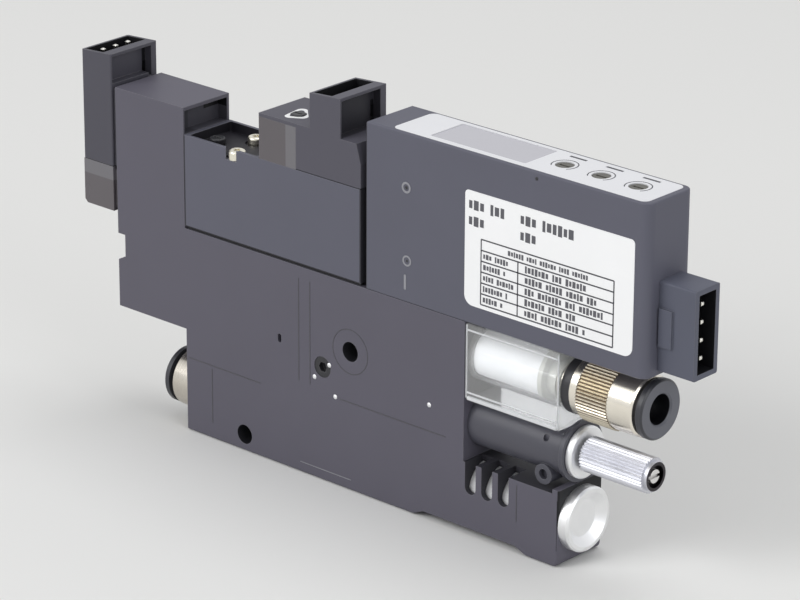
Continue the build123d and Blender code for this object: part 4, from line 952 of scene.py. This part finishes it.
# %% The white line
button_low, button_high = (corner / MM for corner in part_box("release_override"))
centre = ((button_low + button_high) / 2).to_2d()
release_roof = 45.6
hole_edge = 1.34
stroke = 0.82
corner_radius = 0.9
step_length = 0.2
corners = [(-3.78, -4.55), (0.07, -2.21), (-4.83, 2.58)]
outer_line = []
arcs = rounded(corners, corner_radius)
for start, end in zip(arcs, arcs[1:] + arcs[:1]):
    parts = max(1, round(math.dist(start, end) / step_length))
    for i in range(parts):
        outer_line.append(tuple(Vector(start).lerp(Vector(end), i / parts)))
inner_line = []
for point in outer_line:
    away = Vector(point) - centre
    reach = max(hole_edge, away.length - stroke)
    inner_line.append(tuple(centre + away * (reach / away.length)))
line = bmesh.new()
outline_strip(line, outer_line, inner_line, release_roof - 0.01, release_roof + 0.03, top_point)
finish_piece(line, "button_mark", "unit", "plate_white")
print("line round the button at", round(centre.x, 2), round(centre.y, 2))

# %% [markdown]
# ## Small things on the label side
# Passages that were drilled from the side are closed with tiny steel balls, and two round marks
# and a slit show where the switch's case snaps shut. Each stands out by only a few hundredths of a
# millimetre, or by a little more for the balls, and that is enough to catch the light.


# %% Balls and rings
def dome(mesh_data, x, z, y, radius, rise, rings=5, around=20):
    """A shallow dome that stands out of the label side."""
    loops = []
    for ring in range(rings):
        angle = math.pi / 2 * ring / rings
        reach, height = radius * math.cos(angle), rise * math.sin(angle)
        loop = []
        for i in range(around):
            turn = 2 * math.pi * i / around
            place = side_point(x + reach * math.cos(turn), z + reach * math.sin(turn), y - height)
            loop.append(mesh_data.verts.new(place))
        loops.append(loop)
    top = mesh_data.verts.new(side_point(x, z, y - rise))
    base = mesh_data.verts.new(side_point(x, z, y + 0.05))
    for low, high in zip(loops, loops[1:]):
        for i in range(around):
            j = (i + 1) % around
            mesh_data.faces.new([low[i], low[j], high[j], high[i]])
    for i in range(around):
        j = (i + 1) % around
        mesh_data.faces.new([loops[-1][i], loops[-1][j], top])
        mesh_data.faces.new([loops[0][j], loops[0][i], base])


def circle(x, z, radius, around=32):
    """A circle's outline on the label side."""
    turns = [2 * math.pi * i / around for i in range(around)]
    return [(x + radius * math.cos(turn), z + radius * math.sin(turn)) for turn in turns]


body_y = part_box("main_body")[0].y / MM
ball_radius, ball_rise = 0.42, 0.16
balls = bmesh.new()
for x, z in ((4.0, 4.1), (7.2, 6.95), (8.5, 1.9), (28.4, 6.2)):
    dome(balls, x, z, body_y, ball_radius, ball_rise)
finish_piece(balls, "ball_plugs", "unit", "nut_steel", smooth=True)
rings_slit_and_highlight = bmesh.new()
for x, z, rim, hole in ((23.4, 40.7, 0.92, 0.58), (23.6, 28.8, 0.9, 0.6)):
    ring = circle(x, z, rim), circle(x, z, hole)
    outline_strip(rings_slit_and_highlight, *ring, side_y + 0.01, side_y - 0.05, side_point)
slit = rectangle(23.0, 23.45, 24.0, 26.5, (0.2,) * 4)
prism(rings_slit_and_highlight, slit, side_y + 0.01, side_y - 0.04, side_point)
# A pale strip along the body's lower edge is a painted highlight.
painted_edge_highlight = rectangle(0.8, 11.9, -11.57, -11.43)
prism(rings_slit_and_highlight, painted_edge_highlight, body_y + 0.01, body_y - 0.03, side_point)
finish_piece(rings_slit_and_highlight, "snap_marks", "unit", "pale_slate")
dots = bmesh.new()
for x, z, radius in ((23.4, 40.7, 0.3), (23.6, 28.8, 0.22), (49.3, 48.4, 0.3)):
    prism(dots, circle(x, z, radius), side_y + 0.01, side_y - 0.02, side_point)
finish_piece(dots, "snap_dots", "unit", "black_plastic")
print("four balls, two rings and a slit")

# %% [markdown]
# A mould is made of several steel blocks, and each joint between them leaves a hairline on the
# plastic. Here each is a strip a sixth of a millimetre wide, darker than the body.

# %% Mould lines
lines = bmesh.new()
line_w = 0.16
upright = ((0.55, 2.5, 20.0), (3.0, 2.5, 20.0), (-19.0, -10.5, -1.0), (46.4, -8.0, -2.0))
level = ((1.8, 9.6, 31.8), (-0.4, -24.3, -8.0))
strips = [rectangle(x - line_w / 2, x + line_w / 2, z0, z1) for x, z0, z1 in upright]
strips += [rectangle(x0, x1, z - line_w / 2, z + line_w / 2) for z, x0, x1 in level]
for strip in strips:
    prism(lines, strip, body_y + 0.01, body_y - 0.03, side_point)
boss = [circle(11.7, 10.45, radius, 48) for radius in (3.8, 3.66)]
outline_strip(lines, *boss, body_y + 0.01, body_y - 0.03, side_point)
finish_piece(lines, "mould_lines", "unit", "line_slate")
print("mould lines", line_w, "mm wide")

# %% [markdown]
# ## Painted highlights on the edges of the filter's case
# Clear plastic gathers light at its edges and lets it out there, which is why the outline of a
# clear case looks white. Narrow beads of a bright, glossy plastic along the edges paint that line
# as a highlight.
# Along the bottom there are two of them, because the photograph shows two bright lines there.

# %% Highlight beads along the case
case_low, case_high = (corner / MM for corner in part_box("filter_case"))
highlight_beads = bmesh.new()
bead = 0.3
bead_bevel = 0.3 * bead
bead_proud = 0.04
end_gap = 0.3
edge_gap = 0.02
second_line = 1.1
upper_line = 1.3


def bar(mesh_data, low, high):
    """A straight bar between two corners, with rounded edges."""
    made = bmesh.ops.create_cube(mesh_data, size=1.0)
    for vertex in made["verts"]:
        for axis in range(3):
            middle, size = (low[axis] + high[axis]) / 2, high[axis] - low[axis]
            vertex.co[axis] = (middle + vertex.co[axis] * size) * MM
    edges = {edge for vertex in made["verts"] for edge in vertex.link_edges}
    bmesh.ops.bevel(mesh_data, geom=list(edges), offset=bead_bevel * MM, segments=2, affect="EDGES")


near = case_low.y - bead_proud
ends = (
    (case_low.x + edge_gap, case_low.x + bead),
    (case_high.x - bead, case_high.x - edge_gap),
)
for x0, x1 in ends:
    bar(highlight_beads, (x0, near, case_low.z + end_gap), (x1, near + bead, case_high.z - end_gap))
levels = (
    (case_low.z, 2 * bead),
    (case_low.z + second_line, bead),
    (case_high.z - upper_line, bead),
)
for z, thick in levels:
    bar(highlight_beads, (case_low.x + end_gap, near, z), (case_high.x - end_gap, near + thick, z + thick))
finish_piece(highlight_beads, "case_beads", "unit", "bead_plastic")
print("beads on a case", round(case_high.x - case_low.x, 1), "mm long")

# %% [markdown]
# ## Floor, light and camera
# The unit stands on a plain pale floor. The floor's paint has no gloss, so that it shows a soft
# shadow and nothing else.

# %% Floor
floor_z = cad_box[0][2] - 0.0001
floor_mesh = bpy.data.meshes.new("floor")
half = 4.0
floor_corners = [(-half, -half), (half, -half), (half, half), (-half, half)]
floor_mesh.from_pydata([(x, y, floor_z) for x, y in floor_corners], [], [(0, 1, 2, 3)])
floor = bpy.data.objects.new("floor", floor_mesh)
bpy.context.scene.collection.objects.link(floor)
floor_finish = start_material("floor_paint", (0.83, 0.83, 0.82), 0.9, Specular_IOR_Level=0.0)[0]
floor_mesh.materials.append(floor_finish)
print("floor at", round(floor_z / MM, 2), "mm")

# %% [markdown]
# The world does two jobs. As light it is a weak, even fill. Where the camera sees it directly, in
# a reflection or through clear plastic, it is a brighter white, so that metal and glass have a
# pale studio to show. Light Path tells the two cases apart.

# %% World
fill_strength = 0.45
seen_strength = 0.8
world = bpy.data.worlds.new("studio")
bpy.context.scene.world = world
world.use_nodes = True
tree = world.node_tree
tree.nodes.clear()
soft = node(tree, "ShaderNodeBackground", {"Color": (1, 1, 1, 1), "Strength": fill_strength})
pale = node(
    tree, "ShaderNodeBackground", {"Color": (0.97, 0.98, 1.0, 1), "Strength": seen_strength}
)
rays = node(tree, "ShaderNodeLightPath")
seen = math_node(tree, "MAXIMUM", rays.outputs["Is Camera Ray"], rays.outputs["Is Glossy Ray"])
seen = math_node(tree, "MAXIMUM", seen, rays.outputs["Is Transmission Ray"])
choose = node(tree, "ShaderNodeMixShader")
output = node(tree, "ShaderNodeOutputWorld")
tree.links.new(seen, choose.inputs["Fac"])
tree.links.new(soft.outputs["Background"], choose.inputs[1])
tree.links.new(pale.outputs["Background"], choose.inputs[2])
tree.links.new(choose.outputs["Shader"], output.inputs["Surface"])
print("world ready")

# %% [markdown]
# Three square area lamps stand in for softboxes: the strongest at the front left lights the label
# side, a weaker one at the right lifts the fittings' end, and one above lights the tops.


# %% Lamps
def softbox(name, place, aim, size, power, colour=(1, 1, 1)):
    """A square area lamp at a place, turned to its aim."""
    lamp = bpy.data.lights.new(name, "AREA")
    lamp.shape = "SQUARE"
    lamp.size = size
    lamp.energy = power
    lamp.color = colour
    made = bpy.data.objects.new(name, lamp)
    bpy.context.scene.collection.objects.link(made)
    made.location = place
    made.rotation_euler = (Vector(aim) - Vector(place)).to_track_quat("-Z", "Y").to_euler()


aim = (0.015, 0.0, 0.018)
softbox("front_left", (-0.45, -1.05, 0.75), aim, 0.7, 7.5)
softbox("right", (1.1, -0.25, 0.55), aim, 0.7, 3.0, (0.96, 0.98, 1.0))
softbox("above", (0.1, 0.3, 1.3), aim, 0.8, 4.4)
print("three lamps")

# %% [markdown]
# The camera has the photograph's viewing angle: 42 degrees round from the label side and 21
# degrees above the horizon, from 0.6 m away with a long lens. It is rolled by a quarter of a
# degree, as the photograph is.

# %% Camera
camera_data = bpy.data.cameras.new("camera")
camera_data.lens = 177.8
camera_data.sensor_width = 36.0
camera_data.clip_start = 0.01
camera_place = (0.4032, -0.4270, 0.2436)
camera_target = (0.0222, -0.00525, 0.0220)
camera_roll = 0.28
camera = bpy.data.objects.new("camera", camera_data)
bpy.context.scene.collection.objects.link(camera)
camera.location = camera_place
look = Vector(camera_target) - camera.location
camera.rotation_euler = look.to_track_quat("-Z", "Y").to_euler()
camera.rotation_euler.rotate_axis("Z", math.radians(camera_roll))
bpy.context.scene.camera = camera
bpy.context.scene.view_settings.view_transform = "Standard"
print("camera", round(look.length, 3), "m away")

# %% [markdown]
# ## Finish
# The dressed model has to keep the CAD model's size.

# %% Finish
print("scene dressed")
